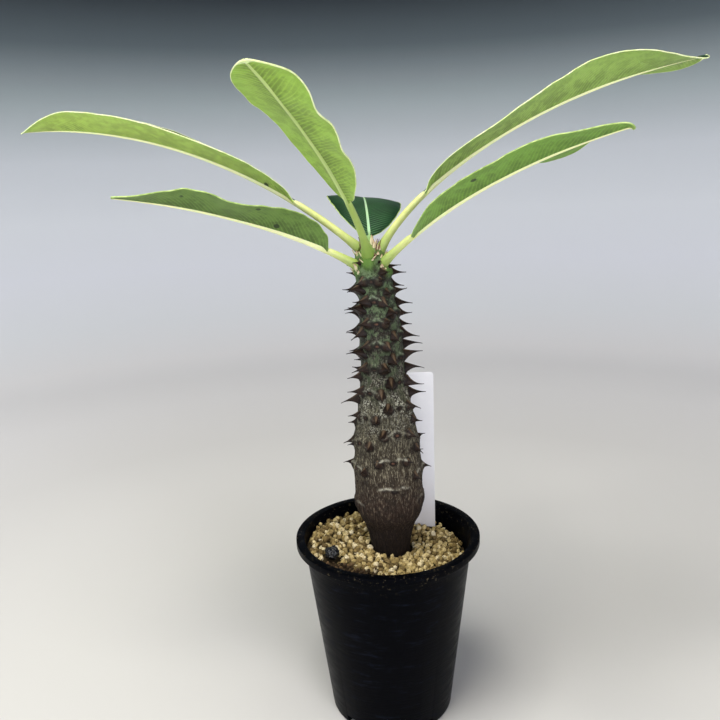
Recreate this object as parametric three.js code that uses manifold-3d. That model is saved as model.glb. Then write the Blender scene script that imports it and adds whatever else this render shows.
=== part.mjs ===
// A young pachypodium baronii in its pot: a thick grey stem with paired spines, six long
// leaves round the growing tip, gritty soil, a dark stone, a blank plant label and a black
// nursery pot. Millimetres, +Z up, the origin at the centre of the pot's underside, and the
// side that faces the viewer at -Y. Azimuths are degrees from -Y towards +X.
import * as THREE from "three";
import { mergeVertices } from "three/addons/utils/BufferGeometryUtils.js";
import Module from "manifold-3d";

const wasm = await Module();
wasm.setup();

// Driving dimensions
const gap = 0.3; // between pieces that touch
const pot = {
  rimRadius: 37.5,
  footRadius: 25.3,
  height: 76.5,
  wall: 1.1,
  floor: 1.6,
  lipHeight: 2.5,
  lipWidth: 2.2,
  shoulderHeight: 9, // from the rim down to where the straight wall starts
  shoulderStep: 1.9, // the wall opens out this much above it
  sides: 48,
};
const drain = { count: 5, firstAzimuth: -40, width: 6, inner: 14, outer: 28, height: 3.6 };
const soil = {
  level: 70.3, // mean height of the surface
  slope: -0.1, // rise for each millimetre towards +X
  edgeDrop: 4, // the lowest that the edge lies below that
  rings: 18, // of the lattice that the grains stand on, three points to a grain
  grainRise: 1.5,
  pitDrop: 0.7,
  scatter: 0.22, // sideways, as a share of the lattice step
  unevenness: 0.8,
  seed: 11,
};
const stone = {
  x: -22.2,
  y: -13,
  radius: 2.9,
  sink: 0.9,
  roughness: 0.16,
  stretch: [1.08, 1, 0.86],
  seed: 3,
};
const label = {
  right: 20.9, // its right edge
  y: 18.5,
  width: 14,
  thick: 0.7,
  top: 139.4,
  bottom: 42,
  taper: 12, // height of the pointed lower end
  endWidth: 2,
  corner: 1.5,
};

// The stem's outline: height, radius and how far its middle leans along X.
const stemOutline = [
  [36, 1.6, 1.2],
  [46, 4.2, 1.2],
  [58, 6.4, 1.2],
  [69, 7.6, 1.2],
  [76, 8.6, 1.2],
  [82, 10.1, 1.2],
  [86, 12.6, 1.2],
  [91, 13.9, 1.2],
  [97, 13.4, 1.2],
  [104, 13.6, 1.0],
  [112, 13.0, 0.8],
  [120, 12.4, 0.6],
  [125, 11.0, 0.5],
  [132, 10.3, 0.4],
  [138, 9.5, 0.2],
  [145, 8.5, 0.0],
  [155, 8.1, -0.4],
  [165, 7.6, -0.9],
  [173, 6.7, -1.7],
  [181, 6.2, -2.8],
  [187, 5.6, -3.2],
  [190, 5.0, -3.3],
  [192, 3.9, -3.3],
  [193.6, 2.3, -3.3],
  [194.4, 0.9, -3.3],
];
const stem = {
  sides: 24,
  buried: [36, 46, 58, 67], // heights of its rings in the soil
  neck: [76, 82], // and where the hole in the soil ends
  evenFrom: 70,
  evenTo: 190,
  evenStep: 3.3,
  dome: [192, 193.6, 194.4],
};
const crownX = -3.3;

// Pairs of spines stand at the old leaf nodes, which wind down the stem.
const nodes = {
  top: 183.5,
  bottom: 98,
  firstAzimuth: 64.4,
  highTurn: 144, // from one node to the next above the waist
  lowTurn: 141.7, // and below it
  waist: 157,
  highStep: 1.48, // drop from node to node at the top
  lowStep: 2.33, // and at the bottom
  halfPair: 24, // degrees from the node's middle to each spine
  splay: 14, // degrees that each spine turns further out
  bump: 0.7,
  bumpWidth: 3.4,
  bumpHeight: 1.8,
  seed: 5,
};
const spine = {
  baseRadius: 2.4,
  leastFoot: 0.5, // share of it that the shortest spine's foot has
  footGrowth: 14, // length that adds a whole base radius
  rootDepth: 1.2,
  waistShare: 0.4,
  waistRadius: 0.7,
  waistRise: 0.25,
  tipDrop: 0.2,
  tipRadius: 0.14,
  sides: 5,
  unevenness: 0.4,
  climb: 0.5, // spread of the spines' slopes
  sinking: 0.55, // share of the spines that slope down
};
// Height on the stem and how far a spine reaches out there.
const spineReach = [
  [97, 2.6],
  [106, 4.0],
  [126, 4.2],
  [134, 6.2],
  [150, 6.8],
  [168, 6.2],
  [186, 5.6],
];
const youngSpine = { spread: 46, rootReach: 0.72, rise: 1.6, length: 6.5, climb: 68, radius: 0.6 };

// Each leaf: where its stalk leaves the crown, how its rib climbs and then levels out, its
// half width and shape, and how far each half is folded up from the level, in degrees at even
// steps from the blade's foot to its tip. Left and right are seen looking out along the leaf.
const leaves = {
  leaf_left_upper: {
    azimuth: -100, reach: 4.0, z: 192.3, rise: 40, end: -1, bend: 1.05, length: 146,
    stalk: 0.21, halfWidth: 14.5, foot: 0.56, tip: 0.38,
    left: [45, 35, 28, 28, 28, 24, -18], right: [5, 2, 12, 22, 26, 18, 6],
  },
  leaf_left_lower: {
    azimuth: -75, reach: 5.0, z: 186.1, rise: 33, end: 8, bend: 0.7, length: 91,
    stalk: 0.145, halfWidth: 14.5, foot: 0.45, tip: 0.6,
    left: [54, 46, 40, 27, 22, 31, 27, 14, 7], right: [22, 21, 20, 20, 21, 13, -4],
  },
  leaf_front: {
    azimuth: -14.7, reach: 3.4, z: 190.2, rise: 66.8, end: 17.3, bend: 0.29, length: 114,
    stalk: 0.275, halfWidth: 12, foot: 0.6, tip: 0.51,
    left: [-31, -32, -21, -20, -24, -15, -18, 8, -6], right: [22, 28, 27, 26, 17, 6, -13],
  },
  leaf_right_upper: {
    azimuth: 100, reach: 3.4, z: 191, rise: 70, end: 10, bend: 0.43, length: 149,
    stalk: 0.185, halfWidth: 16, foot: 0.67, tip: 0.5,
    left: [19, 14, 13, 16, 13, -2, -27], right: [60, 39, 27, 29, 35, 39, 28, 4, -18],
  },
  leaf_right_lower: {
    azimuth: 62.5, reach: 5.0, z: 186.9, rise: 43, end: 13, bend: 0.8, length: 98.5,
    stalk: 0.165, halfWidth: 13.5, foot: 0.3, tip: 0.5,
    left: [22, 21, 19, 17, 14, -4, -6, 10, 3], right: [-14, 10, 17, 18, 24, 18, 20],
  },
  leaf_back: {
    azimuth: -177, reach: 3.4, z: 191, rise: 72, end: -12, bend: 0.33, length: 104,
    stalk: 0.07, halfWidth: 16.6, foot: 0.6, tip: 0.5,
    left: [6, 6, 4, -4], right: [-11, -11, -9, -4],
  },
};
const blade = {
  thick: 0.75,
  edgeThick: 0.66,
  edgeLeast: 0.35, // the narrowest strip beside the rib
  stations: 23,
  lastStation: 0.997, // share of the blade that ends in the blunt tip
  stalkStations: 4,
  flatFrom: 0.02, // share of the blade over which the stalk flattens into it
  stalkRadius: 1.65,
  ribTip: 0.5,
  ribTaper: 0.6,
  ribReach: 0.8, // share of the rib's radius at which the blade leaves it
  ribSeam: 55, // degrees below the blade at which the rib's side starts
  ribSeamLeast: -80,
};
const seat = { share: 0.08, sides: 10, clearance: 0.35 };

const rad = THREE.MathUtils.degToRad;
const lerp = THREE.MathUtils.lerp;
const up = new THREE.Vector3(0, 0, 1);

// A repeatable draw between 0 and 1.
function draw(seed) {
  let state = seed * 7919;
  return () => {
    state = (state * 1664525 + 1013904223) % 4294967296;
    return state / 4294967296;
  };
}

// Straight-line reading of a table of [key, value, ...] rows.
function read(table, key, column = 1) {
  const found = table.findIndex((row) => row[0] >= key);
  const i = Math.max(1, found < 0 ? table.length - 1 : found);
  const [low, high] = [table[i - 1], table[i]];
  const share = THREE.MathUtils.clamp((key - low[0]) / (high[0] - low[0]), 0, 1);
  return lerp(low[column], high[column], share);
}

// Smooth reading of evenly spaced values at a share from 0 to 1.
function readSmooth(values, share) {
  const last = values.length - 1;
  const place = THREE.MathUtils.clamp(share, 0, 1) * last;
  const i = Math.min(Math.floor(place), last - 1);
  const f = place - i;
  const [b, c] = [values[i], values[i + 1]];
  const a = i > 0 ? values[i - 1] : 2 * b - c;
  const d = i + 2 <= last ? values[i + 2] : 2 * c - b;
  return b + 0.5 * f * (c - a + f * (2 * a - 5 * b + 4 * c - d + f * (3 * (b - c) + d - a)));
}

function outward(azimuth) {
  return new THREE.Vector3(Math.sin(rad(azimuth)), -Math.cos(rad(azimuth)), 0);
}

// Joins closed loops of points, each with the same count and wound round the way they follow
// one another, into one closed skin. The diagonals swap from quarter to quarter of the loop,
// so that a blade's lower and upper faces are split alike.
function loft(rings) {
  const n = rings[0].length;
  const points = rings.flat();
  const faces = [];
  for (let i = 0; i < rings.length - 1; i++) {
    for (let j = 0; j < n; j++) {
      const a = i * n + j;
      const b = i * n + ((j + 1) % n);
      const isSwapped = Math.floor((4 * j) / n) % 2 === 1;
      if (isSwapped) faces.push(a, b, a + n, b, b + n, a + n);
      else faces.push(a, b, b + n, a, b + n, a + n);
    }
  }
  for (const ring of [0, rings.length - 1]) {
    const middle = rings[ring].reduce((sum, p) => sum.add(p), new THREE.Vector3()).divideScalar(n);
    const centre = points.push(middle) - 1;
    for (let j = 0; j < n; j++) {
      const a = ring * n + j;
      const b = ring * n + ((j + 1) % n);
      faces.push(...(ring === 0 ? [b, a, centre] : [a, b, centre]));
    }
  }
  return shell(points, faces);
}

function shell(points, faces) {
  const geometry = new THREE.BufferGeometry().setFromPoints(points);
  geometry.setIndex(faces);
  return geometry;
}

function toSolid(geometry) {
  const bare = geometry.clone();
  for (const name of ["normal", "uv"]) bare.deleteAttribute(name);
  const merged = mergeVertices(bare, 1e-4);
  return new wasm.Manifold(
    new wasm.Mesh({
      numProp: 3,
      vertProperties: merged.getAttribute("position").array,
      triVerts: new Uint32Array(merged.index.array),
    }),
  );
}

function toMesh(name, solid, colour, roughness) {
  const { vertProperties, triVerts } = solid.getMesh();
  const geometry = new THREE.BufferGeometry();
  geometry.setAttribute("position", new THREE.BufferAttribute(vertProperties, 3));
  geometry.setIndex(new THREE.BufferAttribute(triVerts, 1));
  geometry.computeVertexNormals();
  const material = new THREE.MeshStandardMaterial({ color: colour, roughness, metalness: 0 });
  const mesh = new THREE.Mesh(geometry, material);
  mesh.name = name;
  return mesh;
}

// A turned shape about Z from [radius, height] rows that start and end on the axis.
function turned(profile, sides) {
  const outline = profile.map(([r, z]) => new THREE.Vector2(r, z));
  return toSolid(new THREE.LatheGeometry(outline, sides).rotateX(Math.PI / 2));
}

// Pot
const shoulderZ = pot.height - pot.shoulderHeight;
const shoulderRadius = pot.rimRadius - pot.lipWidth - pot.shoulderStep;

function straightWall(z) {
  return THREE.MathUtils.mapLinear(z, 0, shoulderZ, pot.footRadius, shoulderRadius);
}

function makePot() {
  const lipZ = pot.height - pot.lipHeight;
  const underLip = shoulderRadius + (pot.shoulderStep * (lipZ - shoulderZ)) / pot.shoulderHeight;
  const mouth = shoulderRadius + pot.shoulderStep - pot.wall;
  const rounding = 0.7;
  let solid = turned(
    [
      [0, 0],
      [pot.footRadius - rounding, 0],
      [straightWall(rounding), rounding],
      [shoulderRadius, shoulderZ],
      [underLip, lipZ],
      [pot.rimRadius - rounding, lipZ],
      [pot.rimRadius, lipZ + rounding],
      [pot.rimRadius, pot.height - rounding],
      [pot.rimRadius - rounding, pot.height],
      [mouth + rounding, pot.height],
      [mouth, pot.height - rounding],
      [shoulderRadius - pot.wall, shoulderZ],
      [straightWall(pot.floor) - pot.wall, pot.floor],
      [0, pot.floor],
    ],
    pot.sides,
  );
  for (let i = 0; i < drain.count; i++) {
    const slot = new THREE.BoxGeometry(drain.width, drain.outer - drain.inner, drain.height * 2);
    slot.translate(0, -(drain.outer + drain.inner) / 2, 0);
    slot.rotateZ(rad(drain.firstAzimuth + (i * 360) / drain.count));
    solid = solid.subtract(toSolid(slot));
  }
  return solid;
}

// Stem
function stemPoint(azimuth, z, lift) {
  const radius = read(stemOutline, z) + lift;
  return outward(azimuth).multiplyScalar(radius).add(new THREE.Vector3(read(stemOutline, z, 2), 0, z));
}

// The old leaf nodes from the top down, each with its height and azimuth.
function leafNodes() {
  const found = [];
  let azimuth = nodes.firstAzimuth;
  let z = nodes.top;
  while (z > nodes.bottom) {
    found.push({ z, azimuth });
    z -= lerp(nodes.highStep, nodes.lowStep, (nodes.top - z) / (nodes.top - nodes.bottom));
    azimuth += z > nodes.waist ? nodes.highTurn : nodes.lowTurn;
  }
  return found;
}

// How far the swellings at the nodes lift the bark.
function nodeLift(found, azimuth, z) {
  let lift = 0;
  for (const node of found) {
    const turn = THREE.MathUtils.euclideanModulo(azimuth - node.azimuth + 180, 360) - 180;
    const across = (rad(turn) * read(stemOutline, z)) / nodes.bumpWidth;
    lift += nodes.bump * Math.exp(-(across ** 2) - ((z - node.z) / nodes.bumpHeight) ** 2);
  }
  return lift;
}

function stemSkin(found, heights, lift) {
  const rings = heights.map((z) => {
    const ring = [];
    for (let j = 0; j < stem.sides; j++) {
      const azimuth = (j / stem.sides) * 360;
      ring.push(stemPoint(azimuth, z, lift + nodeLift(found, azimuth, z)));
    }
    return ring;
  });
  return toSolid(loft(rings));
}

// A spike along a line of [share, radius, drift upwards] rows.
function spike(root, way, length, rows) {
  const level = up.clone().cross(way).normalize();
  const upright = way.clone().cross(level);
  const rings = rows.map(([share, radius, drift]) => {
    const centre = root.clone().addScaledVector(way, share * length).addScaledVector(up, drift);
    const ring = [];
    for (let j = 0; j < spine.sides; j++) {
      const turn = (j / spine.sides) * Math.PI * 2;
      const point = centre.clone().addScaledVector(level, radius * Math.cos(turn));
      ring.push(point.addScaledVector(upright, radius * Math.sin(turn)));
    }
    return ring;
  });
  return toSolid(loft(rings));
}

// A spine: a broad foot sunk in the stem that narrows fast to a thin curved point.
function makeSpine(azimuth, z, side, random) {
  const reach = read(spineReach, z) * (1 + spine.unevenness * (random() - 0.5));
  const length = spine.rootDepth + reach;
  const climb = (random() - spine.sinking) * spine.climb;
  const way = outward(azimuth + side * nodes.splay).addScaledVector(up, climb).normalize();
  const foot = spine.rootDepth / length;
  const radius = spine.baseRadius * (spine.leastFoot + length / spine.footGrowth);
  return spike(stemPoint(azimuth, z, -spine.rootDepth), way, length, [
    [0, radius, 0],
    [lerp(foot, 1, spine.waistShare), spine.waistRadius, spine.waistRise],
    [1, spine.tipRadius, -spine.tipDrop],
  ]);
}

// A slim young spine beside a leaf's foot.
function makeYoungSpine(leaf, side) {
  const azimuth = leaf.azimuth + side * youngSpine.spread;
  const root = outward(azimuth).multiplyScalar(leaf.reach * youngSpine.rootReach);
  root.add(new THREE.Vector3(crownX, 0, leaf.z - youngSpine.rise));
  const climb = rad(youngSpine.climb);
  const way = outward(azimuth).multiplyScalar(Math.cos(climb)).addScaledVector(up, Math.sin(climb));
  return spike(root, way, youngSpine.length, [
    [0, youngSpine.radius, 0],
    [0.5, youngSpine.radius * 0.7, 0],
    [1, spine.tipRadius, 0],
  ]);
}

function makeStem() {
  const found = leafNodes();
  const steps = Math.round((stem.evenTo - stem.evenFrom) / stem.evenStep);
  const even = Array.from({ length: steps + 1 }, (_, i) => lerp(stem.evenFrom, stem.evenTo, i / steps));
  const heights = [...stem.buried, ...even, ...stem.dome];
  const random = draw(nodes.seed);
  const pieces = [stemSkin(found, heights, 0)];
  for (const node of found) {
    for (const side of [-1, 1]) {
      pieces.push(makeSpine(node.azimuth + side * nodes.halfPair, node.z, side, random));
    }
  }
  for (const leaf of Object.values(leaves)) {
    for (const side of [-1, 1]) pieces.push(makeYoungSpine(leaf, side));
  }
  const seats = Object.values(leaves).map(stalkSeat);
  const cut = wasm.Manifold.union(pieces).subtract(wasm.Manifold.union(seats));
  // A spine's end that a leaf stalk cuts off is dropped.
  return cut.decompose().sort((a, b) => b.volume() - a.volume())[0];
}

// Leaves: the frame of the rib at each share of its length
function ribFrames(leaf, shares) {
  const out = outward(leaf.azimuth);
  const point = new THREE.Vector3(crownX, 0, leaf.z).addScaledVector(out, leaf.reach);
  const climb = (share) => rad(leaf.rise + (leaf.end - leaf.rise) * share ** leaf.bend);
  const stride = 1 / 500;
  let walked = 0;
  return shares.map((share) => {
    while (walked < share - 1e-9) {
      const step = Math.min(stride, share - walked);
      const angle = climb(walked + step / 2);
      point.addScaledVector(out, Math.cos(angle) * step * leaf.length);
      point.addScaledVector(up, Math.sin(angle) * step * leaf.length);
      walked += step;
    }
    const angle = climb(share);
    const along = out.clone().multiplyScalar(Math.cos(angle)).addScaledVector(up, Math.sin(angle));
    const normal = up.clone().multiplyScalar(Math.cos(angle)).addScaledVector(out, -Math.sin(angle));
    return { share, point: point.clone(), along, normal, across: along.clone().cross(normal) };
  });
}

function bladeWidth(leaf, u) {
  if (u <= 0 || u >= 1) return 0;
  const peak = leaf.foot / (leaf.foot + leaf.tip);
  const most = peak ** leaf.foot * (1 - peak) ** leaf.tip;
  return (leaf.halfWidth * u ** leaf.foot * (1 - u) ** leaf.tip) / most;
}

function ribRadius(share) {
  return lerp(blade.stalkRadius, blade.ribTip, share ** blade.ribTaper);
}

// One loop round the leaf, from the rib's underside along the left wing to its edge, back over
// the top, and the same on the right. On the stalk it is a plain circle.
function leafRing(leaf, frame) {
  const u = (frame.share - leaf.stalk) / (1 - leaf.stalk);
  const width = bladeWidth(leaf, u);
  const radius = ribRadius(frame.share);
  const flatness = THREE.MathUtils.smoothstep(u, 0, blade.flatFrom);
  const root = radius * blade.ribReach;
  const wing = (folds) => {
    const fold = rad(readSmooth(folds, u));
    const ribTurn = Math.max(fold - rad(blade.ribSeam), rad(blade.ribSeamLeast));
    const spot = (out, lift) => {
      const run = lerp(root, Math.max(width, root + blade.edgeLeast), out);
      return [
        Math.cos(fold) * run - Math.sin(fold) * lift,
        Math.sin(fold) * run + Math.cos(fold) * lift,
      ];
    };
    return [
      [radius * Math.cos(ribTurn), radius * Math.sin(ribTurn)],
      spot(0, -blade.thick / 2),
      spot(0.5, -blade.thick / 2),
      spot(1, -blade.edgeThick / 2),
      spot(1, blade.edgeThick / 2),
      spot(0.5, blade.thick / 2),
      spot(0, blade.thick / 2),
    ];
  };
  const mirrored = ([across, lift]) => [-across, lift];
  const loop = [
    [0, -radius],
    ...wing(leaf.left).map(mirrored),
    [0, blade.thick / 2],
    ...wing(leaf.right).reverse(),
  ];
  return loop.map(([across, lift], j) => {
    const turn = rad(-90) - (j / loop.length) * Math.PI * 2;
    const x = lerp(radius * Math.cos(turn), across, flatness);
    const z = lerp(radius * Math.sin(turn), lift, flatness);
    return frame.point.clone().addScaledVector(frame.across, x).addScaledVector(frame.normal, z);
  });
}

function makeLeaf(leaf) {
  const shares = [];
  for (let i = 0; i < blade.stalkStations; i++) shares.push((leaf.stalk * i) / blade.stalkStations);
  // The stations crowd a little at the blade's foot and tip, where it rounds off.
  for (let i = 0; i < blade.stations; i++) {
    const even = i / (blade.stations - 1);
    const u = 0.5 * even + 0.25 * (1 - Math.cos(Math.PI * even));
    shares.push(lerp(leaf.stalk, 1, u * blade.lastStation));
  }
  return toSolid(loft(ribFrames(leaf, shares).map((frame) => leafRing(leaf, frame))));
}

// The space that a stalk's foot takes up in the crown, with its clearance.
function stalkSeat(leaf) {
  const frames = ribFrames(leaf, [0, seat.share / 2, seat.share]);
  frames[0].point.addScaledVector(frames[0].along, -seat.clearance);
  const rings = frames.map((frame) => {
    const reach = ribRadius(frame.share) + seat.clearance;
    const ring = [];
    for (let j = 0; j < seat.sides; j++) {
      const turn = -(j / seat.sides) * Math.PI * 2;
      const point = frame.point.clone().addScaledVector(frame.across, reach * Math.cos(turn));
      ring.push(point.addScaledVector(frame.normal, reach * Math.sin(turn)));
    }
    return ring;
  });
  return toSolid(loft(rings));
}

// Plant label: a plain strip with a pointed lower end
function makeLabel(grow) {
  const half = label.width / 2 + grow;
  const low = label.bottom - grow * 2;
  const rightSide = [
    [label.endWidth / 2, low],
    [half, low + label.taper],
    [half, label.top - label.corner],
    [half - label.corner, label.top],
  ];
  const leftSide = rightSide.map(([x, z]) => [-x, z]).reverse();
  const outline = new THREE.Shape([...rightSide, ...leftSide].map(([x, z]) => new THREE.Vector2(x, z)));
  const depth = label.thick + 2 * grow;
  const strip = new THREE.ExtrudeGeometry(outline, { depth, bevelEnabled: false });
  strip.translate(0, 0, -depth / 2);
  strip.rotateX(Math.PI / 2);
  strip.translate(label.right - label.width / 2, label.y, 0);
  return toSolid(strip);
}

// Soil
function surfaceHeight(x) {
  return soil.level + soil.slope * x;
}

function makeStone(grow) {
  const lump = new THREE.IcosahedronGeometry(stone.radius + grow, 1);
  const random = draw(stone.seed);
  const corners = mergeVertices(lump.deleteAttribute("normal").deleteAttribute("uv"), 1e-3);
  const place = corners.getAttribute("position");
  const stretch = new THREE.Vector3(...stone.stretch);
  for (let i = 0; i < place.count; i++) {
    const point = new THREE.Vector3().fromBufferAttribute(place, i).multiply(stretch);
    point.multiplyScalar(1 - stone.roughness * (random() - 0.2));
    place.setXYZ(i, point.x, point.y, point.z);
  }
  corners.translate(stone.x, stone.y, surfaceHeight(stone.x) + stone.radius - stone.sink);
  return toSolid(corners);
}

// The surface is a lattice of rings with six points more on each. Every third point is a
// grain, which stands up, and the two beside it are the pits between grains.
function makeSoil() {
  const n = soil.rings;
  const clear = Math.cos(Math.PI / pot.sides);
  const radiusAt = (z) => (straightWall(z) - pot.wall) * clear - gap;
  const random = draw(soil.seed);
  const sides = [[1, 0], [0, 1], [-1, 1], [-1, 0], [0, -1], [1, -1]];
  const step = radiusAt(soil.level - soil.edgeDrop) / n;
  const points = [];
  const starts = [];
  for (let k = 0; k <= n; k++) {
    starts.push(points.length);
    for (let i = 0; i < Math.max(1, 6 * k); i++) {
      const side = Math.floor(i / Math.max(1, k));
      const along = i - side * k;
      const q = k * sides[side][0] + along * sides[(side + 2) % 6][0];
      const r = k * sides[side][1] + along * sides[(side + 2) % 6][1];
      const isGrain = (((q - r) % 3) + 3) % 3 === 0;
      const azimuth = k === 0 ? 0 : (i / (6 * k)) * Math.PI * 2;
      const loose = k < n ? soil.scatter * step : 0;
      const x = k * step * Math.cos(azimuth) + loose * (2 * random() - 1);
      const y = k * step * Math.sin(azimuth) + loose * (2 * random() - 1);
      const rise = isGrain && k < n ? soil.grainRise : -soil.pitDrop;
      points.push(new THREE.Vector3(x, y, surfaceHeight(x) + rise + soil.unevenness * (random() - 0.5)));
    }
  }
  const at = (k, i) => starts[k] + (k === 0 ? 0 : i % (6 * k));
  const faces = [];
  for (let k = 0; k < n; k++) {
    for (let side = 0; side < 6; side++) {
      for (let j = 0; j <= k; j++) {
        const inner = side * k + j;
        const outer = side * (k + 1) + j;
        faces.push(at(k, inner), at(k + 1, outer), at(k + 1, outer + 1));
        if (j < k) faces.push(at(k, inner), at(k + 1, outer + 1), at(k, inner + 1));
      }
    }
  }
  // The side follows the pot's wall down to its floor.
  const floorZ = pot.floor + gap;
  const foot = points.length;
  for (let i = 0; i < 6 * n; i++) {
    const azimuth = (i / (6 * n)) * Math.PI * 2;
    const reach = radiusAt(floorZ);
    points.push(new THREE.Vector3(reach * Math.cos(azimuth), reach * Math.sin(azimuth), floorZ));
  }
  const middle = points.push(new THREE.Vector3(0, 0, floorZ)) - 1;
  for (let i = 0; i < 6 * n; i++) {
    const next = (i + 1) % (6 * n);
    faces.push(foot + i, foot + next, at(n, next), foot + i, at(n, next), at(n, i));
    faces.push(foot + next, foot + i, middle);
  }
  const [stumpZ, ...others] = stem.buried;
  const hole = stemSkin([], [stumpZ - gap, ...others, stem.evenFrom, ...stem.neck], gap);
  const cuts = wasm.Manifold.union([hole, makeLabel(gap), makeStone(gap)]);
  return toSolid(shell(points, faces)).subtract(cuts);
}

const group = new THREE.Group();
group.add(toMesh("pot", makePot(), 0x0b0d14, 0.45));
group.add(toMesh("soil", makeSoil(), 0xcdb988, 0.95));
group.add(toMesh("black_stone", makeStone(0), 0x14171d, 0.6));
group.add(toMesh("plant_label", makeLabel(0), 0xdcdce4, 0.5));
group.add(toMesh("stem", makeStem(), 0x3c3a2e, 0.8));
const leafColours = {
  leaf_left_upper: 0xa8c25f,
  leaf_left_lower: 0x6d8a3a,
  leaf_front: 0x94b04f,
  leaf_right_upper: 0x86a552,
  leaf_right_lower: 0x6a9337,
  leaf_back: 0x1f4a2c,
};
for (const [name, leaf] of Object.entries(leaves)) {
  group.add(toMesh(name, makeLeaf(leaf), leafColours[name], 0.6));
}

export default group;
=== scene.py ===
import math
import random

import bpy
from mathutils import Matrix, Vector, noise


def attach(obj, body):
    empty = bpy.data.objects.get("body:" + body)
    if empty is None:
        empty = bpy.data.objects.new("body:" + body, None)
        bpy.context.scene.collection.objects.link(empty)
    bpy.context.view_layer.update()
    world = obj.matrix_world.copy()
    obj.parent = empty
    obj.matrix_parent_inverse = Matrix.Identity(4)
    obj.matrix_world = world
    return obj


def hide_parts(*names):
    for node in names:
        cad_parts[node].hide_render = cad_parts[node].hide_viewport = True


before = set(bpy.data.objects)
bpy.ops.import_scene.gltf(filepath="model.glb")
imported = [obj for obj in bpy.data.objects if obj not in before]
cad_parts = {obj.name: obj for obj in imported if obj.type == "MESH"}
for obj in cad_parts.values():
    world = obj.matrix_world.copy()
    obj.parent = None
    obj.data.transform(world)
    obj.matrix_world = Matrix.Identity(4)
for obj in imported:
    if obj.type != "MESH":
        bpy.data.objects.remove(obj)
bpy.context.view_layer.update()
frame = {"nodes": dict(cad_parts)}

# A potted pachypodium baronii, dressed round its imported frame. Sizes are in millimetres, as on
# the part's own drawing, and mm turns them to metres. Azimuths are degrees from -Y towards +X.
mm = 0.001
scene = bpy.context.scene
scene.view_settings.view_transform = "Standard"  # keeps the greens as bright as they are in daylight
print("frame loaded:", sorted(frame["nodes"]))


# Small helpers for numbers

def lerp(low, high, share):
    return low + (high - low) * share


def clamp(value, low=0.0, high=1.0):
    return max(low, min(high, value))


def smoothStep(value, low, high):
    share = clamp((value - low) / (high - low))
    return share * share * (3 - 2 * share)


def readTable(table, key, column=1):
    # straight-line reading of [key, value, ...] rows
    for low, high in zip(table, table[1:]):
        if key <= high[0]:
            break
    return lerp(low[column], high[column], clamp((key - low[0]) / (high[0] - low[0])))


def readSmooth(values, share):
    # smooth reading of evenly spaced values at a share from 0 to 1
    last = len(values) - 1
    place = clamp(share) * last
    i = min(int(place), last - 1)
    f = place - i
    b, c = values[i], values[i + 1]
    a = values[i - 1] if i > 0 else 2 * b - c
    d = values[i + 2] if i + 2 <= last else 2 * c - b
    return b + 0.5 * f * (c - a + f * (2 * a - 5 * b + 4 * c - d + f * (3 * (b - c) + d - a)))


def outward(azimuth):
    angle = math.radians(azimuth)
    return Vector((math.sin(angle), -math.cos(angle), 0))


def drawFrom(seed):
    # a repeatable draw between 0 and 1, the same as the part's own
    state = seed * 7919
    while True:
        state = (state * 1664525 + 1013904223) % 4294967296
        yield state / 4294967296


up = Vector((0, 0, 1))


# Small helpers for modelling

def clearSelection():
    bpy.ops.object.select_all(action="DESELECT")


def startEditing(piece, mode="VERT"):
    clearSelection()
    piece.select_set(True)
    bpy.context.view_layer.objects.active = piece
    bpy.ops.object.mode_set(mode="EDIT")
    bpy.ops.mesh.select_mode(type=mode)
    bpy.ops.mesh.select_all(action="SELECT")


def stopEditing():
    bpy.ops.object.mode_set(mode="OBJECT")


def applyPlace(piece):
    clearSelection()
    piece.select_set(True)
    bpy.context.view_layer.objects.active = piece
    bpy.ops.object.transform_apply(location=True, rotation=True, scale=True)


def applyModifier(piece, kind, **settings):
    bpy.context.view_layer.objects.active = piece
    modifier = piece.modifiers.new(kind.lower(), kind)
    for name, value in settings.items():
        setattr(modifier, name, value)
    bpy.ops.object.modifier_apply(modifier=modifier.name)


def shadeSmooth(piece, angle=None):
    clearSelection()
    piece.select_set(True)
    bpy.context.view_layer.objects.active = piece
    if angle is None:
        bpy.ops.object.shade_smooth()
    else:
        bpy.ops.object.shade_smooth_by_angle(angle=math.radians(angle))


def joinPieces(pieces, name):
    clearSelection()
    for piece in pieces:
        piece.select_set(True)
    bpy.context.view_layer.objects.active = pieces[0]
    bpy.ops.object.join()
    joined = bpy.context.object
    joined.name = name
    applyPlace(joined)
    return joined


def rollSheet(name, columns, rows, place, marks=(), finish=None):
    # A flat grid rolled into a closed tube. place(column, row) gives a corner's point in
    # millimetres and the value of each mark there, which the materials read as attributes.
    # finish(column, row) gives the number of a face's material.
    clearSelection()
    bpy.ops.mesh.primitive_grid_add(x_subdivisions=columns, y_subdivisions=rows, size=1)
    piece = bpy.context.object
    piece.name = name
    mesh = piece.data
    for mark in marks:
        mesh.attributes.new(mark, "FLOAT", "POINT")
    layers = [mesh.attributes[mark] for mark in marks]
    for vertex in mesh.vertices:
        row, column = divmod(vertex.index, columns + 1)
        point, *values = place(column % columns, row)
        vertex.co = point * mm
        for layer, value in zip(layers, values):
            layer.data[vertex.index].value = value
    if finish:
        for face in mesh.polygons:
            row, column = divmod(face.index, columns)
            face.material_index = finish(column, row)
    startEditing(piece)
    bpy.ops.mesh.remove_doubles(threshold=1e-6)  # shuts the seam and the two ends
    bpy.ops.mesh.normals_make_consistent(inside=False)
    stopEditing()
    return piece


def dress(piece, node, slotName, *materials):
    for material in materials:
        piece.data.materials.append(material)
    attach(piece, "root")
    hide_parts(node)


# Small helpers for materials

def hexColour(code):
    # an sRGB hex value, turned to linear
    channels = [int(code[i:i + 2], 16) / 255 for i in (1, 3, 5)]
    linear = [c / 12.92 if c <= 0.04045 else ((c + 0.055) / 1.055) ** 2.4 for c in channels]
    return (*linear, 1.0)


def findSocket(sockets, name):
    return next(s for s in sockets if s.identifier == name or s.name == name)


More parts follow.
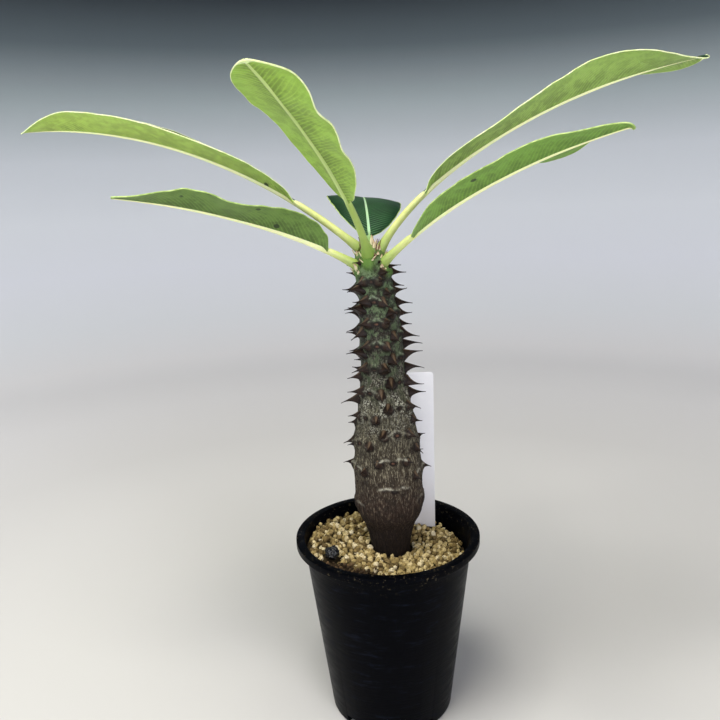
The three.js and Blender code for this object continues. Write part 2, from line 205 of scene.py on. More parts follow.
def addNode(tree, kind, settings=None, links=None):
    # settings hold the node's own choices, its sockets' values and a ramp's stops
    node = tree.nodes.new("ShaderNode" + kind)
    for name, value in (settings or {}).items():
        if name == "stops":
            ramp = node.color_ramp.elements
            while len(ramp) < len(value):
                ramp.new(1.0)
            for element, (position, colour) in zip(ramp, value):
                element.position = position
                element.color = hexColour(colour)
        elif hasattr(node, name):
            setattr(node, name, value)
        else:
            findSocket(node.inputs, name).default_value = value
    for name, (source, output) in (links or {}).items():
        tree.links.new(findSocket(source.outputs, output), findSocket(node.inputs, name))
    return node


def startMaterial(name, settings):
    material = bpy.data.materials.new(name)
    material.use_nodes = True
    shader = material.node_tree.nodes["Principled BSDF"]
    for socketName, value in settings.items():
        findSocket(shader.inputs, socketName).default_value = value
    return material, material.node_tree, shader


def plug(tree, source, output, shader, name):
    tree.links.new(findSocket(source.outputs, output), findSocket(shader.inputs, name))


# Camera, floor and light

cameraView = {
    "place": (0, -273.2, 214.2),
    "turn": -1.84,  # degrees to the right
    "down": 13.3,
    "roll": -2.09,
    "lens": 36.1,
    "sensor": 36,
}


def makeCamera():
    bpy.ops.object.camera_add()
    camera = bpy.context.object
    turn, down, roll = (math.radians(cameraView[name]) for name in ("turn", "down", "roll"))
    level = math.cos(down)
    ahead = Vector((math.sin(turn) * level, math.cos(turn) * level, -math.sin(down)))
    right = Vector((math.cos(turn), -math.sin(turn), 0))
    above = right.cross(ahead)
    rolledRight = right * math.cos(roll) + above * math.sin(roll)
    rolledAbove = above * math.cos(roll) - right * math.sin(roll)
    turned = Matrix((rolledRight, rolledAbove, -ahead)).transposed().to_4x4()
    camera.matrix_world = Matrix.Translation(Vector(cameraView["place"]) * mm) @ turned
    camera.data.lens = cameraView["lens"]
    camera.data.sensor_width = cameraView["sensor"]
    camera.data.clip_start = 0.01
    scene.camera = camera


# A round studio bowl, so that every side looks at the same backdrop: pale on the floor, with painted shade
# round the middle of the floor that tempers the overhead lamp's pool, and painted shade dark towards the top of
# the wall.
studio = {
    "floorRadius": 620,
    "sweepRadius": 420,  # of the bend from the floor up to the wall
    "sweepSteps": 14,
    "wallTop": 1500,
    "sides": 128,
    # from the middle of the floor out and up the wall, with painted shade at the middle and at the top
    "paintsWithPaintedShade": [(0.0, "#c5c5c3"), (0.085, "#d0d0cd"), (0.18, "#d6d6d5"), (0.25, "#e5e5e6"), (0.35, "#efeff1"),
               (0.42, "#eaeef3"), (0.5, "#e9edf6"), (0.57, "#e5eaf1"), (0.64, "#d4dae1"), (0.695, "#a9b4b8"),
               (0.745, "#5f6a70"), (0.79, "#2a3138"), (1.0, "#22282e")],
    "paintReach": 2.0,  # metres, where the last paint begins
    "sky": "#c9ced8",
    "skyStrength": 0.3,
}
lamps = {
    "overhead": {"place": (-160, -240, 880), "aim": (0, 0, 120), "size": 480, "watts": 8.5, "colour": "#fffaf0"},
    "front": {"place": (380, -760, 420), "aim": (0, 0, 130), "size": 520, "watts": 4.5, "colour": "#fbf7ff"},
    "leftFill": {"place": (-760, -380, 380), "aim": (0, 0, 150), "size": 520, "watts": 2.6, "colour": "#f2f6ff"},
}


def makeStudio():
    clearSelection()
    bpy.ops.mesh.primitive_circle_add(
        vertices=studio["sides"], radius=studio["floorRadius"] * mm, fill_type="NGON")
    bowl = bpy.context.object
    bowl.name = "studioBowl"
    startEditing(bowl, "EDGE")
    bpy.ops.mesh.region_to_loop()
    radius, height = studio["floorRadius"], 0.0
    turns = [math.pi / 2 * (i + 1) / studio["sweepSteps"] for i in range(studio["sweepSteps"])]
    bend = studio["sweepRadius"]
    rings = [(studio["floorRadius"] + bend * math.sin(t), bend * (1 - math.cos(t))) for t in turns]
    rings.append((rings[-1][0], studio["wallTop"]))
    for nextRadius, nextHeight in rings:
        bpy.ops.mesh.extrude_region_move(
            TRANSFORM_OT_translate={"value": (0, 0, (nextHeight - height) * mm)})
        ratio = nextRadius / radius
        bpy.ops.transform.resize(value=(ratio, ratio, 1), center_override=(0, 0, 0))
        radius, height = nextRadius, nextHeight
    stopEditing()
    shadeSmooth(bowl, 40)
    material, tree, shader = startMaterial("studioPaintWithPaintedShade", {"Roughness": 0.85, "Specular IOR Level": 0.2})
    place = addNode(tree, "TexCoord")
    flat = addNode(tree, "VectorMath", {"operation": "MULTIPLY", "Vector_001": (1, 1, 0)},
                   {"Vector": (place, "Object")})
    outFloor = addNode(tree, "VectorMath", {"operation": "LENGTH"}, {"Vector": (flat, "Vector")})
    height = addNode(tree, "SeparateXYZ", {}, {"Vector": (place, "Object")})
    walk = addNode(tree, "Math", {"operation": "ADD"}, {"Value": (outFloor, "Value"), "Value_001": (height, "Z")})
    share = addNode(tree, "MapRange", {"From Max": studio["paintReach"]}, {"Value": (walk, "Value")})
    # the ramp carries painted shade: darker at the middle of the floor and dark high on the wall
    paint = addNode(tree, "ValToRGB", {"stops": studio["paintsWithPaintedShade"]}, {"Fac": (share, "Result")})
    plug(tree, paint, "Color", shader, "Base Color")
    bowl.data.materials.append(material)
    world = bpy.data.worlds.new("studioSky")
    world.use_nodes = True
    world.node_tree.nodes["Background"].inputs["Color"].default_value = hexColour(studio["sky"])
    world.node_tree.nodes["Background"].inputs["Strength"].default_value = studio["skyStrength"]
    scene.world = world
    for name, lamp in lamps.items():
        place = Vector(lamp["place"]) * mm
        aim = (Vector(lamp["aim"]) * mm - place).to_track_quat("-Z", "Y")
        bpy.ops.object.light_add(type="AREA", location=place, rotation=aim.to_euler())
        light = bpy.context.object
        light.name = name
        light.data.shape = "DISK"
        light.data.size = lamp["size"] * mm
        light.data.energy = lamp["watts"]
        light.data.color = hexColour(lamp["colour"])[:3]
        light.visible_camera = False


makeCamera()
makeStudio()
print("camera, bowl and lamps made")


# Pot: black nursery pot, turned up from its foot like clay on a wheel

pot = {
    "sides": 128,
    "rimRadius": 37.5,
    "footRadius": 25.3,
    "height": 76.5,
    "wall": 1.1,
    "floor": 1.6,
    "lipHeight": 2.5,
    "lipWidth": 2.2,
    "shoulderHeight": 9,
    "shoulderStep": 1.9,
    "footRounding": 0.7,
    "edgeRounding": 0.7,
    "drains": 5,
    "firstDrain": -40,  # azimuth
    "drainWidth": 6,
    "drainInner": 14,
    "drainOuter": 28,
    "drainHeight": 3.6,
}
shoulderZ = pot["height"] - pot["shoulderHeight"]
shoulderRadius = pot["rimRadius"] - pot["lipWidth"] - pot["shoulderStep"]


def straightWall(z):
    return lerp(pot["footRadius"], shoulderRadius, z / shoulderZ)


def insideWall(z):
    # radius of the pot's inner face
    if z < shoulderZ:
        return straightWall(z) - pot["wall"]
    rise = (z - shoulderZ) / pot["shoulderHeight"]
    return shoulderRadius - pot["wall"] + pot["shoulderStep"] * rise


def potPlastic():
    # Injection-moulded black polypropylene: almost dull, with faint flow lines round the wall,
    # handling scuffs painted bluish, which also serve as a painted sheen, and a little dust from the grit near
    # the rim.
    material, tree, shader = startMaterial("potPolypropylene", {"IOR": 1.49, "Specular IOR Level": 0.025})
    place = addNode(tree, "TexCoord")
    long = addNode(tree, "Mapping", {"Scale": (1, 1, 5)}, {"Vector": (place, "Object")})
    scuffs = addNode(tree, "TexNoise", {"Scale": 90, "Detail": 6, "Roughness": 0.7},
                     {"Vector": (long, "Vector")})
    scuffAndSheenShare = addNode(tree, "MapRange", {"From Min": 0.56, "From Max": 0.78}, {"Value": (scuffs, "Fac")})
    dust = addNode(tree, "TexNoise", {"Scale": 700, "Detail": 3, "Roughness": 0.8},
                   {"Vector": (place, "Object")})
    dustShare = addNode(tree, "MapRange", {"From Min": 0.6, "From Max": 0.75}, {"Value": (dust, "Fac")})
    height = addNode(tree, "SeparateXYZ", {}, {"Vector": (place, "Object")})
    nearRim = addNode(tree, "MapRange", {"From Min": 0.066, "From Max": 0.076, "To Max": 0.5},
                      {"Value": (height, "Z")})
    dustHere = addNode(tree, "Math", {"operation": "MULTIPLY"},
                       {"Value": (dustShare, "Result"), "Value_001": (nearRim, "Result")})
    # blue-grey scuffs: wear, and also a painted sheen in place of the plastic's bluish reflections
    scuffedAndSheened = addNode(tree, "Mix", {"data_type": "RGBA", "A_Color": hexColour("#030407"),
                                    "B_Color": hexColour("#151a25")},
                      {"Factor_Float": (scuffAndSheenShare, "Result")})
    dusty = addNode(tree, "Mix", {"data_type": "RGBA", "B_Color": hexColour("#8a7d63")},
                    {"Factor_Float": (dustHere, "Value"), "A_Color": (scuffedAndSheened, "Result_Color")})
    plug(tree, dusty, "Result_Color", shader, "Base Color")
    gloss = addNode(tree, "MapRange", {"From Min": 0.35, "From Max": 0.75, "To Min": 0.28, "To Max": 0.5},
                    {"Value": (scuffs, "Fac")})
    plug(tree, gloss, "Result", shader, "Roughness")
    flow = addNode(tree, "Mapping", {"Scale": (1, 1, 14)}, {"Vector": (place, "Object")})
    flowLines = addNode(tree, "TexNoise", {"Scale": 160, "Detail": 2}, {"Vector": (flow, "Vector")})
    bump = addNode(tree, "Bump", {"Strength": 0.25, "Distance": 0.0003}, {"Height": (flowLines, "Fac")})
    plug(tree, bump, "Normal", shader, "Normal")
    return material


def makePot():
    lipZ = pot["height"] - pot["lipHeight"]
    underLip = shoulderRadius + pot["shoulderStep"] * (lipZ - shoulderZ) / pot["shoulderHeight"]
    mouth = insideWall(pot["height"])
    foot = pot["footRadius"] - pot["footRounding"]
    rings = [
        (straightWall(pot["footRounding"]), pot["footRounding"]),
        (shoulderRadius, shoulderZ),
        (underLip, lipZ),
        (pot["rimRadius"], lipZ),
        (pot["rimRadius"], pot["height"]),
        (mouth, pot["height"]),
        (insideWall(shoulderZ), shoulderZ),
        (insideWall(pot["floor"]), pot["floor"]),
    ]
    clearSelection()
    bpy.ops.mesh.primitive_circle_add(vertices=pot["sides"], radius=foot * mm, fill_type="NGON")
    shell = bpy.context.object
    shell.name = "potShell"
    startEditing(shell, "FACE")
    radius, height = foot, 0.0
    for nextRadius, nextHeight in rings:
        bpy.ops.mesh.extrude_region_move(
            TRANSFORM_OT_translate={"value": (0, 0, (nextHeight - height) * mm)})
        ratio = nextRadius / radius
        bpy.ops.transform.resize(value=(ratio, ratio, 1), center_override=(0, 0, 0))
        radius, height = nextRadius, nextHeight
    bpy.ops.mesh.select_all(action="SELECT")
    bpy.ops.mesh.normals_make_consistent(inside=False)
    stopEditing()
    slots = []
    for i in range(pot["drains"]):
        azimuth = pot["firstDrain"] + i * 360 / pot["drains"]
        middle = outward(azimuth) * (pot["drainInner"] + pot["drainOuter"]) / 2
        clearSelection()
        bpy.ops.mesh.primitive_cube_add(size=1, location=middle * mm, rotation=(0, 0, math.radians(azimuth)))
        slot = bpy.context.object
        slot.scale = Vector((pot["drainWidth"], pot["drainOuter"] - pot["drainInner"],
                             2 * pot["drainHeight"])) * mm
        slots.append(slot)
    cutter = joinPieces(slots, "drainSlots")
    applyModifier(shell, "BOOLEAN", operation="DIFFERENCE", object=cutter, solver="EXACT")
    bpy.data.objects.remove(cutter)
    applyModifier(shell, "BEVEL", width=pot["edgeRounding"] * mm, segments=4, limit_method="ANGLE",
                  angle_limit=math.radians(30))
    shadeSmooth(shell, 35)
    dress(shell, "pot", "pot_plastic", potPlastic())


makePot()
print("pot made")


# Stem: its outline as height, radius and how far its middle leans along X

stemOutline = [
    [36, 1.6, 1.2],
    [46, 4.2, 1.2],
    [58, 6.4, 1.2],
    [69, 7.6, 1.2],
    [76, 8.6, 1.2],
    [82, 10.1, 1.2],
    [86, 12.6, 1.2],
    [91, 13.9, 1.2],
    [97, 13.4, 1.2],
    [104, 13.6, 1.0],
    [112, 13.0, 0.8],
    [120, 12.4, 0.6],
    [125, 11.0, 0.5],
    [132, 10.3, 0.4],
    [138, 9.5, 0.2],
    [145, 8.5, 0.0],
    [155, 8.1, -0.4],
    [165, 7.6, -0.9],
    [173, 6.7, -1.7],
    [181, 6.2, -2.8],
    [187, 5.6, -3.2],
    [190, 5.0, -3.3],
    [192, 3.9, -3.3],
    [193.6, 2.3, -3.3],
    [194.4, 0.9, -3.3],
]
crownX = -3.3
nodeRule = {
    "top": 183.5,
    "bottom": 98,
    "firstAzimuth": 64.4,
    "highTurn": 144,
    "lowTurn": 141.7,
    "waist": 157,
    "highStep": 1.48,
    "lowStep": 2.33,
    "halfPair": 24,
    "splay": 14,
    "worn": 101,  # spines below this height have weathered away
    "pale": (0.0, 0.42),  # how pale the brow over a node is, from node to node
    "oldScars": 115,  # below this height all are
    "oldPale": 0.85,
    "freshScars": 181,  # and above this height
    "freshPale": 0.8,
    "seed": 5,
    "paleSeed": 17,
}
bark = {
    "sides": 216,
    "buriedStep": 4,
    "soilLine": 66,
    "step": 0.4,
    "domeFrom": 190,
    "outlineBlur": 1.3,  # rounds the corners of the outline
    "nodeBump": 0.75,
    "nodeWidth": 3.6,
    "nodeHeight": 1.9,
    "footRise": 1.3,  # the flare that lifts each spine's foot
    "footReach": 1.9,
    "scarDepth": 0.55,
    "ridgeRise": 0.22,
    "wrinkle": 0.3,
    "lump": 0.45,
    "cushionFrom": 176,  # no leaf foot swells the bark below this height
    "cushionRise": 1.0,
    "cushionWidth": 2.6,
    "cushionHeight": 3.0,
    "cushionDrop": 2.0,  # from a leaf's root down to the middle of its cushion
}
# Old scars low on the stem that carry no spines: azimuth, height and how far they stand out.
lowScars = [(9, 99.7, 1.0), (78, 93.5, 0.4), (-76, 91.5, 0.5), (150, 95, 0.4), (-140, 97, 0.6)]


def leafNodes():
    found = []
    azimuth = nodeRule["firstAzimuth"]
    z = nodeRule["top"]
    draws = drawFrom(nodeRule["paleSeed"])
    while z > nodeRule["bottom"]:
        isOld = z < nodeRule["oldScars"]
        pale = nodeRule["oldPale"] if isOld else lerp(*nodeRule["pale"], next(draws))
        if z > nodeRule["freshScars"]:
            pale = nodeRule["freshPale"]
        if z > nodeRule["worn"]:
            found.append({"azimuth": azimuth, "z": z, "spines": True, "pale": pale, "roof": not isOld})
        share = (nodeRule["top"] - z) / (nodeRule["top"] - nodeRule["bottom"])
        z -= lerp(nodeRule["highStep"], nodeRule["lowStep"], share)
        azimuth += nodeRule["highTurn"] if z > nodeRule["waist"] else nodeRule["lowTurn"]
    return found


def stemRadius(z):
    blur = bark["outlineBlur"] if z > bark["soilLine"] and z < bark["domeFrom"] else 0
    return sum(readTable(stemOutline, z + d * blur) for d in (-1, 0, 1)) / 3


def stemMiddle(z):
    return Vector((readTable(stemOutline, z, 2), 0, z))


def barkRelief(near, azimuth, z, radius):
    # How far the bark stands out at a spot, and how much of it is spine foot, pale ridge and scar.
    lift = foot = ridge = scar = 0.0
    for node in near:
        turn = (azimuth - node["azimuth"] + 180) % 360 - 180
        side = math.radians(turn) * radius
        rise = z - node["z"]
        if abs(side) > 13:
            continue
        lift += bark["nodeBump"] * math.exp(-(side / bark["nodeWidth"]) ** 2
                                            - (rise / bark["nodeHeight"]) ** 2)
        half = math.radians(nodeRule["halfPair"]) * radius
        if node["spines"]:
            away = math.hypot(abs(side) - half, rise)
            foot = max(foot, math.exp(-(away / bark["footReach"]) ** 2))
            lift += bark["footRise"] * math.exp(-(away / bark["footReach"]) ** 2)
        # a pale brow over the dished scar, like a roof on the young stem and double on the old
        if node["roof"]:
            brow = 2.3 - 0.5 * abs(side)
        else:
            brow = 1.75 - 0.28 * abs(abs(side) - 0.55 * half) - 0.35 * math.exp(-(side / 0.9) ** 2)
        crescent = math.exp(-((rise - brow) / 0.42) ** 2) * (1 - smoothStep(abs(side), half - 1, half + 2))
        lift += bark["ridgeRise"] * crescent
        ridge = max(ridge, crescent * node["pale"])
        dish = math.exp(-(side / 1.9) ** 2 - ((rise - 0.2) / 1.2) ** 2)
        lift -= bark["scarDepth"] * dish
        scar = max(scar, dish)
    return lift, foot, ridge, scar


def leafCushion(azimuth, z, radius):
    # 1 where a leaf's foot swells out of the stem, 0 away from it
    cushion = 0.0
    for leaf in leaves.values():
        turn = (azimuth - leaf["azimuth"] + 180) % 360 - 180
        across = math.radians(turn) * radius / bark["cushionWidth"]
        rise = (z - leaf["z"] + bark["cushionDrop"]) / bark["cushionHeight"]
        cushion = max(cushion, math.exp(-across * across - rise * rise))
    return cushion


def makeStemBark():
    found = leafNodes()
    for azimuth, z, pale in lowScars:
        found.append({"azimuth": azimuth, "z": z, "spines": False, "pale": pale, "roof": False})
    low, high = stemOutline[0][0], stemOutline[-1][0]
    heights = [low + i * bark["buriedStep"] for i in range(int((bark["soilLine"] - low) / bark["buriedStep"]))]
    count = round((high - bark["soilLine"]) / bark["step"])
    heights += [lerp(bark["soilLine"], high, i / count) for i in range(count + 1)]
    nearby = [[node for node in found if abs(node["z"] - z) < 6] for z in heights]
    rows = len(heights) + 1  # with a closing point at each end
    sides = bark["sides"]

    def place(column, row):
        i = int(clamp(row - 1, 0, len(heights) - 1))
        z = heights[i]
        if row == 0 or row == rows:
            return stemMiddle(z), 0, 0, 0, 0
        azimuth = column * 360 / sides
        way = outward(azimuth)
        radius = stemRadius(z)
        lift, foot, ridge, scar = barkRelief(nearby[i], azimuth, z, radius)
        cushion = leafCushion(azimuth, z, radius) if z > bark["cushionFrom"] else 0
        swollen = bark["cushionRise"] * cushion * (1 - smoothStep(z, 190, 193.6))
        fade = smoothStep(z, bark["soilLine"], 74) * (1 - smoothStep(z, 188, 193))
        woody = 1 - 0.75 * smoothStep(z, 135, 165)
        spot = way * radius
        streak = 1 - abs(noise.noise(Vector((spot.x * 0.9, spot.y * 0.9, z * 0.11)))) * 2.2
        swell = noise.noise(Vector((spot.x * 0.16, spot.y * 0.16, z * 0.13 + 9)))
        lift += bark["wrinkle"] * woody * (streak - 0.6) + bark["lump"] * swell
        return stemMiddle(z) + way * (radius + lift * fade + swollen), foot, ridge, scar, cushion

    stem = rollSheet("stemBark", sides, rows, place, ("spineFoot", "scarRidge", "scarDish", "leafCushion"))
    shadeSmooth(stem)
    dress(stem, "stem", "stem_bark", stemBark())


def stemBark():
    # Living bark of a young succulent stem: waxy dark green at the tip, greyer and cracked
    # lengthwise below, brown where it is oldest. Cracks are about 1 mm apart, and pale flakes
    # of cork lie in a band under the waist.
    material, tree, shader = startMaterial("pachypodiumBark", {"IOR": 1.45, "Specular IOR Level": 0.22})
    place = addNode(tree, "TexCoord")
    height = addNode(tree, "SeparateXYZ", {}, {"Vector": (place, "Object")})
    upStem = addNode(tree, "MapRange", {"From Min": 0.066, "From Max": 0.195}, {"Value": (height, "Z")})
    byAge = addNode(tree, "ValToRGB", {"stops": [
        (0.0, "#130e0a"), (0.1, "#17100d"), (0.22, "#271b14"), (0.32, "#342d23"), (0.5, "#322f25"),
        (0.62, "#1c1d15"), (0.78, "#1a1e15"), (0.9, "#26331d"), (0.96, "#3f5729"), (1.0, "#6a883b")]},
        {"Fac": (upStem, "Result")})
    # lengthwise cracks
    long = addNode(tree, "Mapping", {"Scale": (1, 1, 0.24)}, {"Vector": (place, "Object")})
    cracks = addNode(tree, "TexNoise", {"Scale": 1900, "Detail": 6, "Roughness": 0.72, "Distortion": 0.3},
                     {"Vector": (long, "Vector")})
    crackShare = addNode(tree, "MapRange", {"From Min": 0.5, "From Max": 0.63}, {"Value": (cracks, "Fac")})
    crackTone = addNode(tree, "ValToRGB", {"stops": [
        (0.0, "#5f4b3a"), (0.18, "#7a6a57"), (0.32, "#9d967f"), (0.55, "#918e78"), (1.0, "#7f8a6c")]},
        {"Fac": (upStem, "Result")})
    cracked = addNode(tree, "ValToRGB", {"stops": [
        (0.0, "#505050"), (0.12, "#808080"), (0.3, "#d8d8d8"), (0.5, "#d8d8d8"), (0.62, "#b0b0b0"),
        (0.85, "#808080"), (1.0, "#303030")]}, {"Fac": (upStem, "Result")})
    crackHere = addNode(tree, "Math", {"operation": "MULTIPLY"},
                        {"Value": (crackShare, "Result"), "Value_001": (cracked, "Color")})
    streaked = addNode(tree, "Mix", {"data_type": "RGBA"},
                       {"Factor_Float": (crackHere, "Value"), "A_Color": (byAge, "Color"),
                        "B_Color": (crackTone, "Color")})
    # grey-green wax left in patches up the young stem, and brown blotches all over
    blotches = addNode(tree, "TexNoise", {"Scale": 330, "Detail": 6, "Roughness": 0.74},
                       {"Vector": (place, "Object")})
    waxShare = addNode(tree, "MapRange", {"From Min": 0.51, "From Max": 0.45}, {"Value": (blotches, "Fac")})
    waxBand = addNode(tree, "ValToRGB", {"stops": [
        (0.0, "#000000"), (0.5, "#101010"), (0.64, "#808080"), (0.85, "#c8c8c8"), (1.0, "#b0b0b0")]},
        {"Fac": (upStem, "Result")})
    waxHere = addNode(tree, "Math", {"operation": "MULTIPLY"},
                      {"Value": (waxShare, "Result"), "Value_001": (waxBand, "Color")})
    waxed = addNode(tree, "Mix", {"data_type": "RGBA", "B_Color": hexColour("#6b7f5b")},
                    {"Factor_Float": (waxHere, "Value"), "A_Color": (streaked, "Result_Color")})
    blotchShare = addNode(tree, "MapRange", {"From Min": 0.51, "From Max": 0.58, "To Max": 0.8},
                          {"Value": (blotches, "Fac")})
    blotched = addNode(tree, "Mix", {"data_type": "RGBA", "B_Color": hexColour("#1b130d")},
                       {"Factor_Float": (blotchShare, "Result"), "A_Color": (waxed, "Result_Color")})
    # pale cork flakes
    flakes = addNode(tree, "TexVoronoi", {"Scale": 1500, "Randomness": 1.0}, {"Vector": (place, "Object")})
    flakeShare = addNode(tree, "MapRange", {"From Min": 0.6, "From Max": 0.3}, {"Value": (flakes, "Distance")})
    flakeBand = addNode(tree, "ValToRGB", {"stops": [
        (0.0, "#000000"), (0.4, "#303030"), (0.47, "#c0c0c0"), (0.52, "#ffffff"), (0.57, "#b0b0b0"),
        (0.66, "#505050"), (1.0, "#202020")]}, {"Fac": (upStem, "Result")})
    patchy = addNode(tree, "TexNoise", {"Scale": 330, "Detail": 3}, {"Vector": (place, "Object")})
    patchShare = addNode(tree, "MapRange", {"From Min": 0.42, "From Max": 0.62}, {"Value": (patchy, "Fac")})
    flakeHere = addNode(tree, "Math", {"operation": "MULTIPLY"},
                        {"Value": (flakeShare, "Result"), "Value_001": (flakeBand, "Color")})
    flakeThere = addNode(tree, "Math", {"operation": "MULTIPLY"},
                         {"Value": (flakeHere, "Value"), "Value_001": (patchShare, "Result")})
    flaked = addNode(tree, "Mix", {"data_type": "RGBA", "B_Color": hexColour("#adad9c")},
                     {"Factor_Float": (flakeThere, "Value"), "A_Color": (blotched, "Result_Color")})
    # brown spine feet in a near black ring of painted shade where they leave the bark, pale ridges over them and
    # the dark scars between them
    foot = addNode(tree, "Attribute", {"attribute_name": "spineFoot"})
    footShare = addNode(tree, "MapRange", {"From Min": 0.12, "From Max": 0.4, "To Max": 0.9},
                        {"Value": (foot, "Fac")})
    # near black where the foot meets the bark is painted shade in the crease; brown on the foot itself
    footBrownInShade = addNode(tree, "ValToRGB", {"stops": [
        (0.2, "#0d0806"), (0.5, "#130c09"), (0.75, "#2a1a12"), (1.0, "#24160f")]}, {"Fac": (foot, "Fac")})
    footed = addNode(tree, "Mix", {"data_type": "RGBA"},
                     {"Factor_Float": (footShare, "Result"), "A_Color": (flaked, "Result_Color"),
                      "B_Color": (footBrownInShade, "Color")})
    ridge = addNode(tree, "Attribute", {"attribute_name": "scarRidge"})
    frayed = addNode(tree, "TexNoise", {"Scale": 620, "Detail": 4, "Roughness": 0.7},
                     {"Vector": (place, "Object")})
    broken = addNode(tree, "MapRange", {"From Min": 0.44, "From Max": 0.56, "To Min": 0.15},
                     {"Value": (frayed, "Fac")})
    ridgeHere = addNode(tree, "Math", {"operation": "MULTIPLY"},
                        {"Value": (ridge, "Fac"), "Value_001": (broken, "Result")})
    ridgeTone = addNode(tree, "ValToRGB", {"stops": [
        (0.0, "#9c9687"), (0.5, "#a5a594"), (0.85, "#a3b598"), (0.93, "#a4c9a4")]},
        {"Fac": (upStem, "Result")})
    ridged = addNode(tree, "Mix", {"data_type": "RGBA"},
                     {"Factor_Float": (ridgeHere, "Value"), "A_Color": (footed, "Result_Color"),
                      "B_Color": (ridgeTone, "Color")})
    dish = addNode(tree, "Attribute", {"attribute_name": "scarDish"})
    dishShare = addNode(tree, "MapRange", {"From Min": 0.3, "From Max": 0.7, "To Max": 0.95},
                        {"Value": (dish, "Fac")})
    dished = addNode(tree, "Mix", {"data_type": "RGBA", "B_Color": hexColour("#120b08")},
                     {"Factor_Float": (dishShare, "Result"), "A_Color": (ridged, "Result_Color")})
    dotShare = addNode(tree, "MapRange", {"From Min": 0.8, "From Max": 0.96, "To Max": 0.6},
                       {"Value": (dish, "Fac")})
    dotHere = addNode(tree, "Math", {"operation": "MULTIPLY"},
                      {"Value": (dotShare, "Result"), "Value_001": (patchShare, "Result")})
    dotted = addNode(tree, "Mix", {"data_type": "RGBA", "B_Color": hexColour("#6d4c3a")},
                     {"Factor_Float": (dotHere, "Value"), "A_Color": (dished, "Result_Color")})
    # living green round the leaf feet
    cushion = addNode(tree, "Attribute", {"attribute_name": "leafCushion"})
    greenShare = addNode(tree, "MapRange", {"From Min": 0.12, "From Max": 0.75, "To Max": 0.9},
                         {"Value": (cushion, "Fac")})
    greenTone = addNode(tree, "ValToRGB", {"stops": [(0.86, "#33502a"), (0.96, "#5f8234")]},
                        {"Fac": (upStem, "Result")})
    greened = addNode(tree, "Mix", {"data_type": "RGBA"},
                      {"Factor_Float": (greenShare, "Result"), "A_Color": (dotted, "Result_Color"),
                       "B_Color": (greenTone, "Color")})
    plug(tree, greened, "Result_Color", shader, "Base Color")
    gloss = addNode(tree, "MapRange", {"From Min": 0.5, "From Max": 0.9, "To Min": 0.78, "To Max": 0.5},
                    {"Value": (upStem, "Result")})
    plug(tree, gloss, "Result", shader, "Roughness")
    bump = addNode(tree, "Bump", {"Strength": 0.7, "Distance": 0.0004}, {"Height": (cracks, "Fac")})
    finer = addNode(tree, "Bump", {"Strength": 0.4, "Distance": 0.0002},
                    {"Height": (flakes, "Distance"), "Normal": (bump, "Normal")})
    plug(tree, finer, "Normal", shader, "Normal")
    return material


# Spines: a broad foot that narrows fast to a thin curved point, in pairs at the old nodes

spine = {
    "columns": 16,
    "rows": 22,
    "footRadius": 2.25,  # on a spine of full length, where it leaves the bark
    "fullReach": 6.6,
    "rootDepth": 1.2,
    "tipRadius": 0.13,
    "narrowing": 2.3,  # how fast the foot gives way to the needle
    "keel": 0.18,  # how far the section departs from round, with a ridge on top
    "waistRise": 0.25,
    "unevenness": 0.45,
    "climb": 0.85,
    "levelling": 0.5,  # share of its climb that a spine's outer half turns back
    "hook": 1.7,  # most that a tip bends up or down
    "hookSeed": 8,
}
# Height on the stem and how far a spine reaches out there.
spineReach = [[97, 2.6], [106, 4.2], [126, 4.6], [134, 6.6], [150, 7.2], [168, 6.8], [186, 6.2]]
youngSpine = {"spread": 46, "rootReach": 0.72, "rise": 1.6, "length": 6.5, "climb": 68, "radius": 0.6}
# azimuth, height, length, slope and foot radius
topSpines = [
    (-48, 187.2, 4.6, 0.3, 1.0),
    (34, 187.4, 3.6, 1.5, 0.6),
    (74, 185.2, 6.6, 0.35, 1.5),
    (-96, 185.8, 4.4, 0.2, 1.1),
    (150, 186.5, 4.8, 0.4, 1.1),
    (-150, 187.0, 4.2, 0.5, 1.0),
]


def makeSpike(name, root, way, length, profile, drift):
    # profile(share) is its radius and drift(share) how far its middle strays upwards
    level = up.cross(way).normalized()
    upright = way.cross(level)
    rows = spine["rows"]

    def place(column, row):
        share = clamp((row - 1) / (rows - 2))
        middle = root + way * (share * length) + up * drift(share)
        if row == 0 or row == rows:
            return middle, share, 0
        turn = column / spine["columns"] * 2 * math.pi
        radius = profile(share) * (1 - spine["keel"] * math.sin(3 * turn))
        point = middle + level * (radius * math.cos(turn)) + upright * (radius * math.sin(turn))
        # the last value is how far the point faces up, where the horn carries a painted highlight
        return point, share, max(0, math.sin(turn))

    return rollSheet(name, spine["columns"], rows, place, ("spineShare", "spineTop"))


